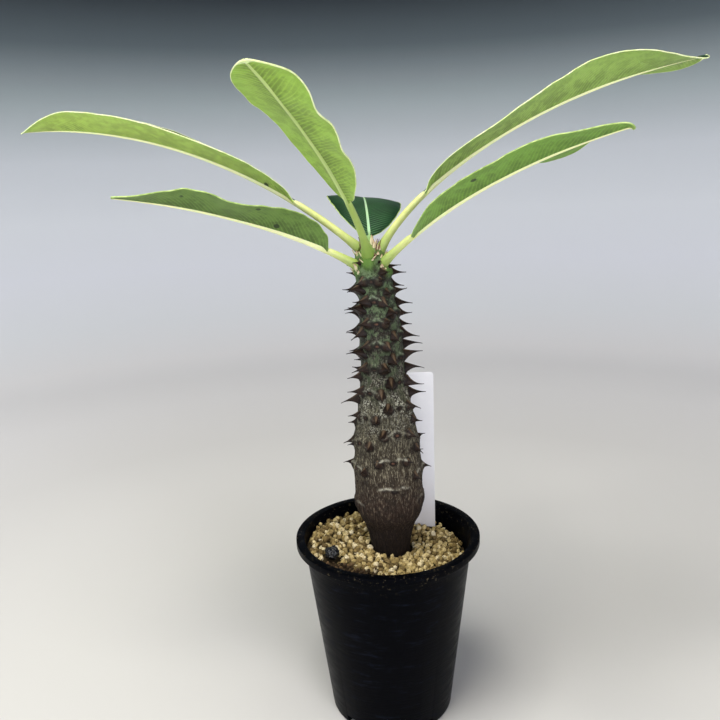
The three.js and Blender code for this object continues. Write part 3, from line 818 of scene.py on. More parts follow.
def makeSpines():
    draws = drawFrom(nodeRule["seed"])
    hooks = drawFrom(spine["hookSeed"])
    spikes = []
    for node in leafNodes():
        for side in (-1, 1):
            azimuth = node["azimuth"] + side * nodeRule["halfPair"]
            z = node["z"]
            reach = readTable(spineReach, z) * (1 + spine["unevenness"] * (next(draws) - 0.5))
            length = spine["rootDepth"] + reach
            climb = (next(draws) - 0.55) * spine["climb"]
            way = (outward(azimuth + side * nodeRule["splay"]) + up * climb).normalized()
            root = stemMiddle(z) + outward(azimuth) * (readTable(stemOutline, z) - spine["rootDepth"])
            foot = spine["footRadius"] * (0.35 + 0.65 * min(1.1, reach / spine["fullReach"]))
            skin = spine["rootDepth"] / length
            lean = smoothStep(z, 150, 185)
            hook = spine["hook"] * (next(hooks) - lerp(0.62, 0.4, lean))

            def profile(share, foot=foot, skin=skin):
                free = 1 - clamp((share - skin) / (1 - skin))
                return spine["tipRadius"] + foot * free ** spine["narrowing"]

            def drift(share, hook=hook, level=climb * length * spine["levelling"]):
                rise = spine["waistRise"] * math.sin(math.pi * share)
                return rise + hook * share ** 3 - level * share * share

            spikes.append(makeSpike("spike", root, way, length, profile, drift))
    spikes += makeTopSpikes()
    spines = joinPieces(spikes, "stemSpines")
    shadeSmooth(spines)
    dress(spines, "stem", "stem_bark", spineHorn())


def makeTopSpikes():
    # the newest spines, which stand just under the leaf feet
    spikes = []
    for azimuth, z, length, climb, foot in topSpines:
        way = (outward(azimuth) + up * climb).normalized()
        root = stemMiddle(z) + outward(azimuth) * (stemRadius(z) - spine["rootDepth"] / 2)
        spikes.append(makeSpike(
            "topSpike", root, way, length,
            lambda share: spine["tipRadius"] + foot * (1 - share) ** spine["narrowing"],
            lambda share: -climb * length * spine["levelling"] * share * share))
    return spikes


def spineHorn():
    # Hard horny spine: red-brown at the foot, near black at the point, with a low polish; the tan
    # streak along its upper side is a painted highlight.
    settings = {"IOR": 1.54, "Roughness": 0.5, "Specular IOR Level": 0.16}
    material, tree, shader = startMaterial("spineHorn", settings)
    place = addNode(tree, "TexCoord")
    share = addNode(tree, "Attribute", {"attribute_name": "spineShare"})
    body = addNode(tree, "ValToRGB", {"stops": [
        (0.0, "#0b0706"), (0.2, "#110a08"), (0.4, "#1d120c"), (0.7, "#120b08"), (1.0, "#060403")]},
        {"Fac": (share, "Fac")})
    # a tan painted highlight along the upper side, strongest part way out
    top = addNode(tree, "Attribute", {"attribute_name": "spineTop"})
    highlightShare = addNode(tree, "MapRange", {"From Min": 0.88, "From Max": 1.0, "To Max": 0.75},
                       {"Value": (top, "Fac")})
    along = addNode(tree, "ValToRGB", {"stops": [
        (0.0, "#404040"), (0.25, "#a0a0a0"), (0.45, "#b0b0b0"), (0.65, "#606060"), (0.85, "#000000")]},
        {"Fac": (share, "Fac")})
    highlightHere = addNode(tree, "Math", {"operation": "MULTIPLY"},
                      {"Value": (highlightShare, "Result"), "Value_001": (along, "Color")})
    highlighted = addNode(tree, "Mix", {"data_type": "RGBA", "B_Color": hexColour("#8f775a")},
                     {"Factor_Float": (highlightHere, "Value"), "A_Color": (body, "Color")})
    grain = addNode(tree, "TexNoise", {"Scale": 1600, "Detail": 3}, {"Vector": (place, "Object")})
    grainShare = addNode(tree, "MapRange", {"From Min": 0.5, "From Max": 0.75, "To Max": 0.35},
                         {"Value": (grain, "Fac")})
    grained = addNode(tree, "Mix", {"data_type": "RGBA", "B_Color": hexColour("#4a3424")},
                      {"Factor_Float": (grainShare, "Result"), "A_Color": (highlighted, "Result_Color")})
    plug(tree, grained, "Result_Color", shader, "Base Color")
    bump = addNode(tree, "Bump", {"Strength": 0.3, "Distance": 0.0001}, {"Height": (grain, "Fac")})
    plug(tree, bump, "Normal", shader, "Normal")
    return material


makeSpines()
print("spines made")


# Leaves: the same ribs and folds as the part's own, with raised veins and a beaded margin.
# Left and right are seen looking out along the leaf.

# each leaf's under colour is lighter or darker from leaf to leaf as painted light and shade, for how much light
# reaches it
leaves = {
    "leaf_left_upper": {
        "azimuth": -100, "reach": 4.0, "z": 192.3, "rise": 40, "end": -1, "bend": 1.05, "length": 146,
        "stalk": 0.21, "halfWidth": 14.5, "foot": 0.56, "tip": 0.38,
        "left": [45, 35, 28, 28, 28, 24, -18], "right": [5, 2, 12, 22, 26, 18, 6],
        "piece": "leafLeftUpper", "under": "#9ab551", "specks": 0.07, "ragged": 0.01, "curl": 0, "seed": 1,
        "margin": "pale", "rib": "cream", "collar": 0.45,
    },
    "leaf_left_lower": {
        "azimuth": -75, "reach": 5.0, "z": 186.1, "rise": 33, "end": 8, "bend": 0.7, "length": 91,
        "stalk": 0.145, "halfWidth": 14.5, "foot": 0.45, "tip": 0.6,
        "left": [54, 46, 40, 27, 22, 31, 27, 14, 7], "right": [22, 21, 20, 20, 21, 13, -4],
        "piece": "leafLeftLower", "under": "#5c7838", "specks": 0.45, "ragged": 0.05, "curl": 0, "seed": 2,
        "margin": "green", "rib": "cream", "collar": 0.45,
    },
    "leaf_front": {
        "azimuth": -14.7, "reach": 3.4, "z": 190.2, "rise": 66.8, "end": 17.3, "bend": 0.29, "length": 114,
        "stalk": 0.275, "halfWidth": 12, "foot": 0.6, "tip": 0.51,
        "left": [-31, -32, -21, -20, -24, -15, -18, 8, -6], "right": [22, 28, 27, 26, 17, 6, -13],
        "piece": "leafFront", "under": "#8aaa48", "specks": 0.0, "ragged": 0.012, "curl": 0, "seed": 3,
        "margin": "pale", "rib": "green", "collar": 1.0,
    },
    "leaf_right_upper": {
        "azimuth": 100, "reach": 3.4, "z": 191, "rise": 70, "end": 10, "bend": 0.43, "length": 149,
        "stalk": 0.185, "halfWidth": 16, "foot": 0.67, "tip": 0.5,
        "left": [19, 14, 13, 16, 13, -2, -27], "right": [60, 39, 27, 29, 35, 39, 28, 4, -18],
        "piece": "leafRightUpper", "under": "#86a350", "specks": 0.04, "ragged": 0.01, "curl": 0, "seed": 4,
        "margin": "pale", "rib": "cream", "collar": 0.45,
    },
    "leaf_right_lower": {
        "azimuth": 62.5, "reach": 5.0, "z": 186.9, "rise": 43, "end": 13, "bend": 0.8, "length": 98.5,
        "stalk": 0.165, "halfWidth": 13.5, "foot": 0.3, "tip": 0.5,
        "left": [22, 21, 19, 17, 16, 0, -3, 12, 5], "right": [-14, 10, 17, 18, 24, 18, 20],
        "piece": "leafRightLower", "under": "#698e3b", "specks": 0.03, "ragged": 0.02, "curl": 70, "seed": 5,
        "margin": "green", "rib": "cream", "collar": 0.45,
    },
    "leaf_back": {
        "azimuth": -177, "reach": 3.4, "z": 191, "rise": 72, "end": -12, "bend": 0.33, "length": 104,
        "stalk": 0.07, "halfWidth": 16.6, "foot": 0.6, "tip": 0.5,
        "left": [6, 6, 4, -4], "right": [-11, -11, -9, -4],
        "piece": "leafBack", "under": "#7fa048", "specks": 0.05, "ragged": 0.012, "curl": 0, "seed": 6,
        "margin": "green", "rib": "mint", "collar": 0.2,
    },
}
blade = {
    "rowStep": 0.42,
    "wingSteps": 21,
    "ribSteps": 4,
    "beadSteps": 4,
    "halfThick": 0.33,  # beside the rib
    "edgeThick": 0.17,
    "beadRadius": 0.27,
    "beadLeast": 0.6,  # share of it at the blade's foot
    "edgeLeast": 0.35,
    "stalkRadius": 1.65,
    "collarLength": 5,  # along which the stalk's foot is thicker, by each leaf's own collar
    "ribTip": 0.5,
    "ribTaper": 0.6,
    "crestShare": 0.4,  # of the rib's width, which shows on the upper side
    "tipShare": 0.997,
    "paleTip": 5,  # rows at the tip that are as pale as the margin
    "curlFrom": 0.965,
    "veinSpacing": 1.7,
    "veinLean": 0.75,  # forward run of a vein for each millimetre outwards
    "veinBow": 0.018,
    "veinDrop": 0.035,
    "veinRise": 0.045,
    "camber": 0.035,
    "ripple": 0.35,
}


def ribFrames(leaf, shares):
    # the middle of the rib at each share of its length, with its directions there
    out = outward(leaf["azimuth"])
    point = Vector((crownX, 0, leaf["z"])) + out * leaf["reach"]
    frames = []
    walked = 0.0
    stride = 1 / 800

    def climb(share):
        curl = leaf["curl"] * max(0, (share - blade["curlFrom"]) / (1 - blade["curlFrom"])) ** 2
        return math.radians(leaf["rise"] + (leaf["end"] - leaf["rise"]) * share ** leaf["bend"] - curl)

    for share in shares:
        while walked < share - 1e-9:
            step = min(stride, share - walked)
            angle = climb(walked + step / 2)
            point = point + (out * math.cos(angle) + up * math.sin(angle)) * (step * leaf["length"])
            walked += step
        angle = climb(share)
        along = out * math.cos(angle) + up * math.sin(angle)
        normal = up * math.cos(angle) - out * math.sin(angle)
        frames.append({"share": share, "point": point, "normal": normal, "across": along.cross(normal)})
    return frames


def bladeWidth(leaf, u):
    if u <= 0 or u >= 1:
        return 0
    peak = leaf["foot"] / (leaf["foot"] + leaf["tip"])
    most = peak ** leaf["foot"] * (1 - peak) ** leaf["tip"]
    return leaf["halfWidth"] * u ** leaf["foot"] * (1 - u) ** leaf["tip"] / most


def ribRadius(leaf, share):
    collar = leaf["collar"] * math.exp(-(share * leaf["length"] / blade["collarLength"]) ** 2)
    return lerp(blade["stalkRadius"], blade["ribTip"], share ** blade["ribTaper"]) + collar


def wingStations():
    # The loop round one wing, from under the rib to the margin and back over the top.
    under = [("under", i / (blade["wingSteps"] - 1)) for i in range(blade["wingSteps"])]
    over = [("over", share) for _, share in reversed(under)]
    rib = [("rib", (i + 1) / blade["ribSteps"]) for i in range(blade["ribSteps"])]
    bead = [("bead", lerp(-80, 80, i / (blade["beadSteps"] - 1))) for i in range(blade["beadSteps"])]
    return rib + under + bead + over


def veinPhase(leaf, along, run, side):
    # whole numbers lie on the side veins, which lean forward and bow towards the margin
    wander = noise.noise(Vector((along * 0.14, run * 0.08, leaf["seed"] * 7 + side * 3))) * 0.7
    back = along - blade["veinLean"] * run - blade["veinBow"] * run * run
    return back / blade["veinSpacing"] + wander + 0.5 * side


def wingSpot(leaf, station, frame, u, side):
    # across and lift of one station of a wing, its vein phase and its share out to the margin
    kind, value = station
    folds = leaf["left"] if side < 0 else leaf["right"]
    fold = math.radians(readSmooth(folds, u))
    radius = ribRadius(leaf, frame["share"])
    if kind == "rib":
        turn = lerp(math.radians(-90), max(fold - math.radians(55), math.radians(-80)), value)
        return radius * math.cos(turn), radius * math.sin(turn), 0, 0
    along = frame["share"] * leaf["length"]
    uneven = noise.noise(Vector((along * 0.2, side * 5, leaf["seed"] * 11)))
    width = bladeWidth(leaf, u) * (1 + leaf["ragged"] * uneven * 2)
    bead = blade["beadRadius"] * lerp(blade["beadLeast"], 1, smoothStep(u, 0, 0.3))
    root = radius * (blade["crestShare"] if kind == "over" else 0.8)
    reach = max(width - bead, root + blade["edgeLeast"])
    out = 1.0 if kind == "bead" else value
    run = lerp(root, reach, out)
    phase = veinPhase(leaf, along, run, side)
    wave = (0.5 + 0.5 * math.cos(2 * math.pi * phase)) ** 2
    free = smoothStep(run - root, 0, 2.5) * (1 - smoothStep(out, 0.86, 1)) * smoothStep(width, 1, 5)
    half = lerp(blade["halfThick"], blade["edgeThick"], out)
    if kind == "bead":
        turn = math.radians(value)
        run += bead * math.cos(turn)
        lift = bead * math.sin(turn)
    else:
        lift = half if kind == "over" else -half - blade["veinRise"] * wave * free
    lift -= blade["veinDrop"] * (wave - 0.4) * free
    lift += blade["camber"] * width * 4 * out * (1 - out)
    sway = noise.noise(Vector((along * 0.11, side * 9 + 2, leaf["seed"] * 5)))
    lift += blade["ripple"] * sway * out * out * smoothStep(width, 1, 6)
    across = math.cos(fold) * run - math.sin(fold) * lift
    return across, math.sin(fold) * run + math.cos(fold) * lift, phase, out


def makeLeaf(node, leaf, materials):
    stations = wingStations()
    loop = [("keel", 0)] + [(-1, s) for s in stations] + [("crest", 0)]
    loop += [(1, s) for s in reversed(stations)]
    columns = len(loop)
    stalkRows = round(leaf["stalk"] * leaf["length"] / 0.8)
    bladeRows = round((1 - leaf["stalk"]) * leaf["length"] / blade["rowStep"])
    shares = [leaf["stalk"] * i / stalkRows for i in range(stalkRows)]
    for i in range(bladeRows + 1):
        even = i / bladeRows
        u = 0.5 * even + 0.25 * (1 - math.cos(math.pi * even))  # closer rows at the foot and the tip
        shares.append(lerp(leaf["stalk"], 1, u * blade["tipShare"]))
    frames = ribFrames(leaf, shares)
    rows = len(shares) + 1

    def place(column, row):
        here = frames[int(clamp(row - 1, 0, len(frames) - 1))]
        u = (here["share"] - leaf["stalk"]) / (1 - leaf["stalk"])
        onBlade = smoothStep(u, -0.05, 0.1)
        if row == 0 or row == rows:
            return here["point"], 0, 0, max(0, u), onBlade
        radius = ribRadius(leaf, here["share"])
        side, station = loop[column]
        phase = out = 0
        if side == "keel":
            across, lift = 0, -radius
        elif side == "crest":
            across, lift = 0, blade["halfThick"] * 0.35
        else:
            across, lift, phase, out = wingSpot(leaf, station, here, u, side)
            across *= side
        flatness = smoothStep(u, -0.03, 0.04)
        turn = math.radians(-90) - column / columns * 2 * math.pi
        x = lerp(radius * math.cos(turn), across, flatness)
        z = lerp(radius * math.sin(turn), lift, flatness)
        point = here["point"] + here["across"] * x + here["normal"] * z
        return point, phase, out, max(0, u), onBlade

    finishOf = {"under": 0, "over": 1, "bead": 2, "rib": 3}
    kinds = [3 if side in ("keel", "crest") else finishOf[station[0]] for side, station in loop]

    def finish(column, row):
        # a face that touches the rib or the bead is part of it
        if row <= stalkRows:
            return finishOf["rib"]
        if row >= rows - blade["paleTip"]:
            return finishOf["bead"]
        return max(kinds[column], kinds[(column + 1) % columns])

    marks = ("veinPhase", "wingShare", "bladeShare", "onBlade")
    piece = rollSheet(leaf["piece"], columns, rows, place, marks, finish)
    shadeSmooth(piece)
    dress(piece, node, "leaf_green", *materials)


leafTissue = {"IOR": 1.42, "Subsurface Weight": 0.3, "Subsurface Radius": (0.7, 1.0, 0.25),
              "Subsurface Scale": 0.0009}


def leafUnderside(leaf):
    # Matt waxy underside: pale veins that stand out, painted shade in the corners between them and the rib,
    # and here and there a dark speck.
    settings = {**leafTissue, "Roughness": 0.55, "Specular IOR Level": 0.4}
    material, tree, shader = startMaterial("leafWaxPaintedLight_" + leaf["piece"], settings)
    place = addNode(tree, "TexCoord")
    phase = addNode(tree, "Attribute", {"attribute_name": "veinPhase"})
    out = addNode(tree, "Attribute", {"attribute_name": "wingShare"})
    # the leaf's under colour, which carries painted light and shade
    base = leaf["under"]
    mottle = addNode(tree, "TexNoise", {"Scale": 240, "Detail": 7, "Roughness": 0.72},
                     {"Vector": (place, "Object")})
    tone = addNode(tree, "MapRange", {"From Min": 0.43, "From Max": 0.57}, {"Value": (mottle, "Fac")})
    toned = addNode(tree, "Mix", {"data_type": "RGBA", "A_Color": shade(base, 0.7),
                                  "B_Color": shade(base, 1.24)}, {"Factor_Float": (tone, "Result")})
    # yellower and paler towards the margin and the tip
    length = addNode(tree, "Attribute", {"attribute_name": "bladeShare"})
    afar = addNode(tree, "Math", {"operation": "MULTIPLY_ADD", "Value_001": 0.6},
                   {"Value": (length, "Fac"), "Value_002": (out, "Fac")})
    afarShare = addNode(tree, "MapRange", {"From Min": 0.35, "From Max": 1.6, "To Max": 0.7},
                        {"Value": (afar, "Value")})
    paled = addNode(tree, "Mix", {"data_type": "RGBA", "B_Color": shade(base, 1.35)},
                    {"Factor_Float": (afarShare, "Result"), "A_Color": (toned, "Result_Color")})
    # distance from the nearest vein, 0 on it and 0.5 midway to the next
    wave = addNode(tree, "Math", {"operation": "PINGPONG", "Value_001": 0.5}, {"Value": (phase, "Fac")})
    vein = addNode(tree, "MapRange", {"interpolation_type": "SMOOTHSTEP", "From Min": 0.24,
                                      "From Max": 0.03, "To Max": 0.42}, {"Value": (wave, "Value")})
    fade = addNode(tree, "MapRange", {"From Min": 1.0, "From Max": 0.6}, {"Value": (out, "Fac")})
    veinHere = addNode(tree, "Math", {"operation": "MULTIPLY"},
                       {"Value": (vein, "Result"), "Value_001": (fade, "Result")})
    veined = addNode(tree, "Mix", {"data_type": "RGBA", "B_Color": shade(base, 1.55)},
                     {"Factor_Float": (veinHere, "Value"), "A_Color": (paled, "Result_Color")})
    # painted shade: darker green between the raised veins near the rib
    corner = addNode(tree, "MapRange", {"From Min": 0.55, "From Max": 0.05, "To Max": 0.6},
                     {"Value": (out, "Fac")})
    between = addNode(tree, "MapRange", {"From Min": 0.1, "From Max": 0.45, "To Min": 0.35},
                      {"Value": (wave, "Value")})
    cornerShadeHere = addNode(tree, "Math", {"operation": "MULTIPLY"},
                         {"Value": (corner, "Result"), "Value_001": (between, "Result")})
    cornerShaded = addNode(tree, "Mix", {"data_type": "RGBA", "B_Color": shade(base, 0.58)},
                       {"Factor_Float": (cornerShadeHere, "Value"), "A_Color": (veined, "Result_Color")})
    specks = addNode(tree, "TexVoronoi", {"Scale": 190}, {"Vector": (place, "Object")})
    spot = addNode(tree, "MapRange", {"From Min": 0.24, "From Max": 0.17, "To Max": 0.9},
                   {"Value": (specks, "Distance")})
    chosen = addNode(tree, "SeparateColor", {}, {"Color": (specks, "Color")})
    some = addNode(tree, "Math", {"operation": "LESS_THAN", "Value_001": leaf["specks"]},
                   {"Value": (chosen, "Red")})
    spotHere = addNode(tree, "Math", {"operation": "MULTIPLY"},
                       {"Value": (spot, "Result"), "Value_001": (some, "Value")})
    spotted = addNode(tree, "Mix", {"data_type": "RGBA", "B_Color": hexColour("#23301c")},
                      {"Factor_Float": (spotHere, "Value"), "A_Color": (cornerShaded, "Result_Color")})
    plug(tree, spotted, "Result_Color", shader, "Base Color")
    fine = addNode(tree, "TexNoise", {"Scale": 1500, "Detail": 3}, {"Vector": (place, "Object")})
    ribbed = addNode(tree, "Bump", {"Strength": 0.5, "Distance": 0.0002}, {"Height": (veinHere, "Value")})
    bump = addNode(tree, "Bump", {"Strength": 0.25, "Distance": 0.0001},
                   {"Height": (fine, "Fac"), "Normal": (ribbed, "Normal")})
    plug(tree, bump, "Normal", shader, "Normal")
    return material


def leafUpper():
    # Glossy upper side: deep green cuticle, quilted between its sunken veins, painted paler, partly as a painted
    # highlight along them.
    settings = {**leafTissue, "Subsurface Weight": 0.12, "Roughness": 0.36, "Specular IOR Level": 0.4}
    material, tree, shader = startMaterial("leafCuticle", settings)
    place = addNode(tree, "TexCoord")
    phase = addNode(tree, "Attribute", {"attribute_name": "veinPhase"})
    out = addNode(tree, "Attribute", {"attribute_name": "wingShare"})
    mottle = addNode(tree, "TexNoise", {"Scale": 160, "Detail": 4}, {"Vector": (place, "Object")})
    tone = addNode(tree, "MapRange", {"From Min": 0.35, "From Max": 0.65}, {"Value": (mottle, "Fac")})
    toned = addNode(tree, "Mix", {"data_type": "RGBA", "A_Color": hexColour("#092312"),
                                  "B_Color": hexColour("#173a1e")}, {"Factor_Float": (tone, "Result")})
    wave = addNode(tree, "Math", {"operation": "PINGPONG", "Value_001": 0.5}, {"Value": (phase, "Fac")})
    vein = addNode(tree, "MapRange", {"interpolation_type": "SMOOTHSTEP", "From Min": 0.17,
                                      "From Max": 0.03, "To Max": 0.65}, {"Value": (wave, "Value")})
    fade = addNode(tree, "MapRange", {"From Min": 1.0, "From Max": 0.6}, {"Value": (out, "Fac")})
    veinHere = addNode(tree, "Math", {"operation": "MULTIPLY"},
                       {"Value": (vein, "Result"), "Value_001": (fade, "Result")})
    # paler veins: partly their own colour, partly a painted highlight for the gloss along them
    veined = addNode(tree, "Mix", {"data_type": "RGBA", "B_Color": hexColour("#6f9a72")},
                     {"Factor_Float": (veinHere, "Value"), "A_Color": (toned, "Result_Color")})
    plug(tree, veined, "Result_Color", shader, "Base Color")
    fine = addNode(tree, "TexNoise", {"Scale": 1300, "Detail": 3}, {"Vector": (place, "Object")})
    bump = addNode(tree, "Bump", {"Strength": 0.3, "Distance": 0.0001}, {"Height": (fine, "Fac")})
    plug(tree, bump, "Normal", shader, "Normal")
    return material


def leafMargin(name, deep, pale):
    # The margin: a gristly bead, paler than the blade.
    material, tree, shader = startMaterial(name, {**leafTissue, "Roughness": 0.6})
    place = addNode(tree, "TexCoord")
    mottle = addNode(tree, "TexNoise", {"Scale": 500, "Detail": 3}, {"Vector": (place, "Object")})
    share = addNode(tree, "MapRange", {"From Min": 0.35, "From Max": 0.65}, {"Value": (mottle, "Fac")})
    toned = addNode(tree, "Mix", {"data_type": "RGBA", "A_Color": hexColour(deep),
                                  "B_Color": hexColour(pale)}, {"Factor_Float": (share, "Result")})
    plug(tree, toned, "Result_Color", shader, "Base Color")
    return material


def leafStalk(name, deep, pale):
    # Stalk and rib: smooth yellow-green, paler along the blade, and greener where the stalk
    # leaves the stem.
    settings = {**leafTissue, "Roughness": 0.45}
    material, tree, shader = startMaterial(name, settings)
    place = addNode(tree, "TexCoord")
    fibres = addNode(tree, "TexNoise", {"Scale": 420, "Detail": 4}, {"Vector": (place, "Object")})
    blade = addNode(tree, "Attribute", {"attribute_name": "onBlade"})
    light = addNode(tree, "Math", {"operation": "MULTIPLY_ADD", "Value_001": 0.45, "use_clamp": True},
                    {"Value": (fibres, "Fac"), "Value_002": (blade, "Fac")})
    pale = addNode(tree, "Mix", {"data_type": "RGBA", "A_Color": hexColour(deep),
                                 "B_Color": hexColour(pale)}, {"Factor_Float": (light, "Value")})
    # measured from the middle of the crown
    fromCrown = addNode(tree, "VectorMath", {"operation": "DISTANCE", "Vector_001": (crownX * mm, 0, 0.188)},
                        {"Vector": (place, "Object")})
    nearCrown = addNode(tree, "MapRange", {"From Min": 0.016, "From Max": 0.005, "To Max": 0.85},
                        {"Value": (fromCrown, "Value")})
    greened = addNode(tree, "Mix", {"data_type": "RGBA", "B_Color": hexColour("#66872c")},
                      {"Factor_Float": (nearCrown, "Result"), "A_Color": (pale, "Result_Color")})
    plug(tree, greened, "Result_Color", shader, "Base Color")
    bump = addNode(tree, "Bump", {"Strength": 0.2, "Distance": 0.0001}, {"Height": (fibres, "Fac")})
    plug(tree, bump, "Normal", shader, "Normal")
    return material


def shade(code, factor):
    # the same hue, lighter or darker
    red, green, blue, alpha = hexColour(code)
    return (min(1, red * factor), min(1, green * factor), min(1, blue * factor), alpha)


upperSide = leafUpper()
margins = {
    "pale": leafMargin("paleMarginBead", "#c3d68c", "#e4edbb"),
    "green": leafMargin("greenMarginBead", "#86a352", "#b9cf84"),
}
ribs = {
    "cream": leafStalk("creamStalk", "#b7c26e", "#ebefb6"),
    "green": leafStalk("greenStalk", "#92aa4e", "#bdd285"),
    "mint": leafStalk("mintStalk", "#88a96a", "#a5c9a0"),
}
for node, leaf in leaves.items():
    makeLeaf(node, leaf, [leafUnderside(leaf), upperSide, margins[leaf["margin"]], ribs[leaf["rib"]]])
    print(leaf["piece"], "made")

makeStemBark()  # after the leaves are known, because it swells round their feet
print("stem bark made")


# Crown: young spines beside the leaf feet, and papery cream scales round the growing tip

crown = {
    "scales": [
        # azimuth, distance out, height, length, width, lean outwards in degrees
        (20, 1.6, 192.5, 6.2, 1.5, 4),
        (58, 2.2, 191.8, 5.4, 1.4, 8),
        (-35, 1.8, 192.4, 4.6, 1.3, -4),
        (110, 1.5, 192.6, 4.2, 1.3, 3),
        (160, 1.7, 192.2, 4.8, 1.4, 6),
        (-120, 1.6, 192.5, 5.0, 1.3, 2),
        (-75, 2.0, 192.0, 4.4, 1.2, 6),
        (30, 2.8, 191.0, 5.6, 1.7, 5),
        (46, 3.2, 190.4, 5.2, 1.8, 8),
        (64, 3.5, 190.0, 4.6, 1.6, 12),
        (36, 4.2, 188.8, 3.8, 1.8, 14),
        (54, 4.5, 188.2, 3.4, 1.8, 18),
        (-58, 3.6, 189.8, 4.6, 1.5, 10),
        (-44, 3.2, 190.2, 5.0, 1.4, 6),
    ],
    "tufts": 8,  # small scales at each leaf's foot
    "tuftLength": (1.8, 3.4),
    "tuftWidth": 0.9,
    "thick": 0.28,
    "columns": 10,
    "rows": 8,
    "seed": 21,
}


def makeScale(root, way, length, width, bend):
    # a lens-shaped scale with a drawn-out point
    level = up.cross(way)
    level = level.normalized() if level.length > 1e-3 else Vector((1, 0, 0))
    face = way.cross(level)
    rows = crown["rows"]

    def place(column, row):
        share = clamp((row - 1) / (rows - 2))
        middle = root + way * (share * length) + face * (bend * share * share)
        if row == 0 or row == rows:
            return middle, share
        turn = column / crown["columns"] * 2 * math.pi
        half = width / 2 * (math.sin(math.pi * (0.18 + 0.82 * share)) ** 0.8 + 0.06)
        thick = crown["thick"] * (1 - 0.7 * share)
        return middle + level * (half * math.cos(turn)) + face * (thick * math.sin(turn)), share

    return rollSheet("scale", crown["columns"], rows, place, ("scaleShare",))


def makeCrown():
    scales = []
    for azimuth, out, z, length, width, lean in crown["scales"]:
        angle = math.radians(lean)
        way = outward(azimuth) * math.sin(angle) + up * math.cos(angle)
        root = Vector((crownX, 0, z - 1)) + outward(azimuth) * out
        scales.append(makeScale(root, way, length, width, 0.4))
    chance = random.Random(crown["seed"])
    for leaf in leaves.values():
        for i in range(crown["tufts"]):
            side = 1 if i % 2 else -1
            azimuth = leaf["azimuth"] + side * chance.uniform(38, 78)
            foot = Vector((crownX, 0, leaf["z"])) + outward(leaf["azimuth"]) * leaf["reach"]
            root = foot + outward(azimuth) * chance.uniform(1.5, 2.3) - up * chance.uniform(0.6, 3.4)
            way = (outward(azimuth) * chance.uniform(0.2, 1.1) + up).normalized()
            length = chance.uniform(*crown["tuftLength"])
            scales.append(makeScale(root, way, length, crown["tuftWidth"], chance.uniform(-0.5, 0.5)))
    tip = joinPieces(scales, "crownScales")
    shadeSmooth(tip)
    dress(tip, "stem", "stem_bark", paperyScale())
    young = []
    for leaf in leaves.values():
        for side in (-1, 1):
            azimuth = leaf["azimuth"] + side * youngSpine["spread"]
            root = outward(azimuth) * (leaf["reach"] * youngSpine["rootReach"])
            root += Vector((crownX, 0, leaf["z"] - youngSpine["rise"]))
            climb = math.radians(youngSpine["climb"])
            way = outward(azimuth) * math.cos(climb) + up * math.sin(climb)
            young.append(makeSpike("youngSpike", root, way, youngSpine["length"],
                                   lambda share: youngSpine["radius"] * (1 - 0.85 * share ** 0.8),
                                   lambda share: 0.3 * share * share))
    needles = joinPieces(young, "youngSpines")
    shadeSmooth(needles)
    dress(needles, "stem", "stem_bark", youngHorn())


def paperyScale():
    # Dry papery bud scale: cream, with pinkish-brown fibres towards the point.
    material, tree, shader = startMaterial("buddingScale", {"Roughness": 0.7, "Sheen Weight": 0.2})
    place = addNode(tree, "TexCoord")
    share = addNode(tree, "Attribute", {"attribute_name": "scaleShare"})
    cream = addNode(tree, "ValToRGB", {"stops": [
        (0.0, "#8f9a5c"), (0.3, "#cfcda2"), (0.75, "#d2c3a0"), (1.0, "#8a5a43")]}, {"Fac": (share, "Fac")})
    long = addNode(tree, "Mapping", {"Scale": (1, 1, 0.15)}, {"Vector": (place, "Object")})
    fibres = addNode(tree, "TexNoise", {"Scale": 2200, "Detail": 3}, {"Vector": (long, "Vector")})
    fibreShare = addNode(tree, "MapRange", {"From Min": 0.5, "From Max": 0.75, "To Max": 0.5},
                         {"Value": (fibres, "Fac")})
    streaked = addNode(tree, "Mix", {"data_type": "RGBA", "B_Color": hexColour("#9c7458")},
                       {"Factor_Float": (fibreShare, "Result"), "A_Color": (cream, "Color")})
    plug(tree, streaked, "Result_Color", shader, "Base Color")
    bump = addNode(tree, "Bump", {"Strength": 0.4, "Distance": 0.0001}, {"Height": (fibres, "Fac")})
    plug(tree, bump, "Normal", shader, "Normal")
    return material


def youngHorn():
    # Young spine, still soft: reddish brown over green, darker at the point.
    material, tree, shader = startMaterial("youngSpineHorn", {"Roughness": 0.45})
    share = addNode(tree, "Attribute", {"attribute_name": "spineShare"})
    body = addNode(tree, "ValToRGB", {"stops": [
        (0.0, "#7d8a4c"), (0.3, "#8a6148"), (0.7, "#6d4536"), (1.0, "#3a201a")]}, {"Fac": (share, "Fac")})
    place = addNode(tree, "TexCoord")
    grain = addNode(tree, "TexNoise", {"Scale": 1500}, {"Vector": (place, "Object")})
    toned = addNode(tree, "Mix", {"data_type": "RGBA", "blend_type": "OVERLAY", "Factor_Float": 0.4},
                    {"A_Color": (body, "Color"), "B_Color": (grain, "Fac")})
    plug(tree, toned, "Result_Color", shader, "Base Color")
    return material


makeCrown()
print("crown made")


# Plant label: a blank white strip pushed into the soil behind the stem

label = {
    "right": 20.9,
    "y": 18.5,
    "width": 14,
    "thick": 0.7,
    "top": 139.4,
    "bottom": 42,
    "taper": 12,
    "endWidth": 2,
    "corner": 1.5,
    "edge": 0.12,
    "bands": 24,
    "bow": 0.25,  # the strip is never quite flat
}


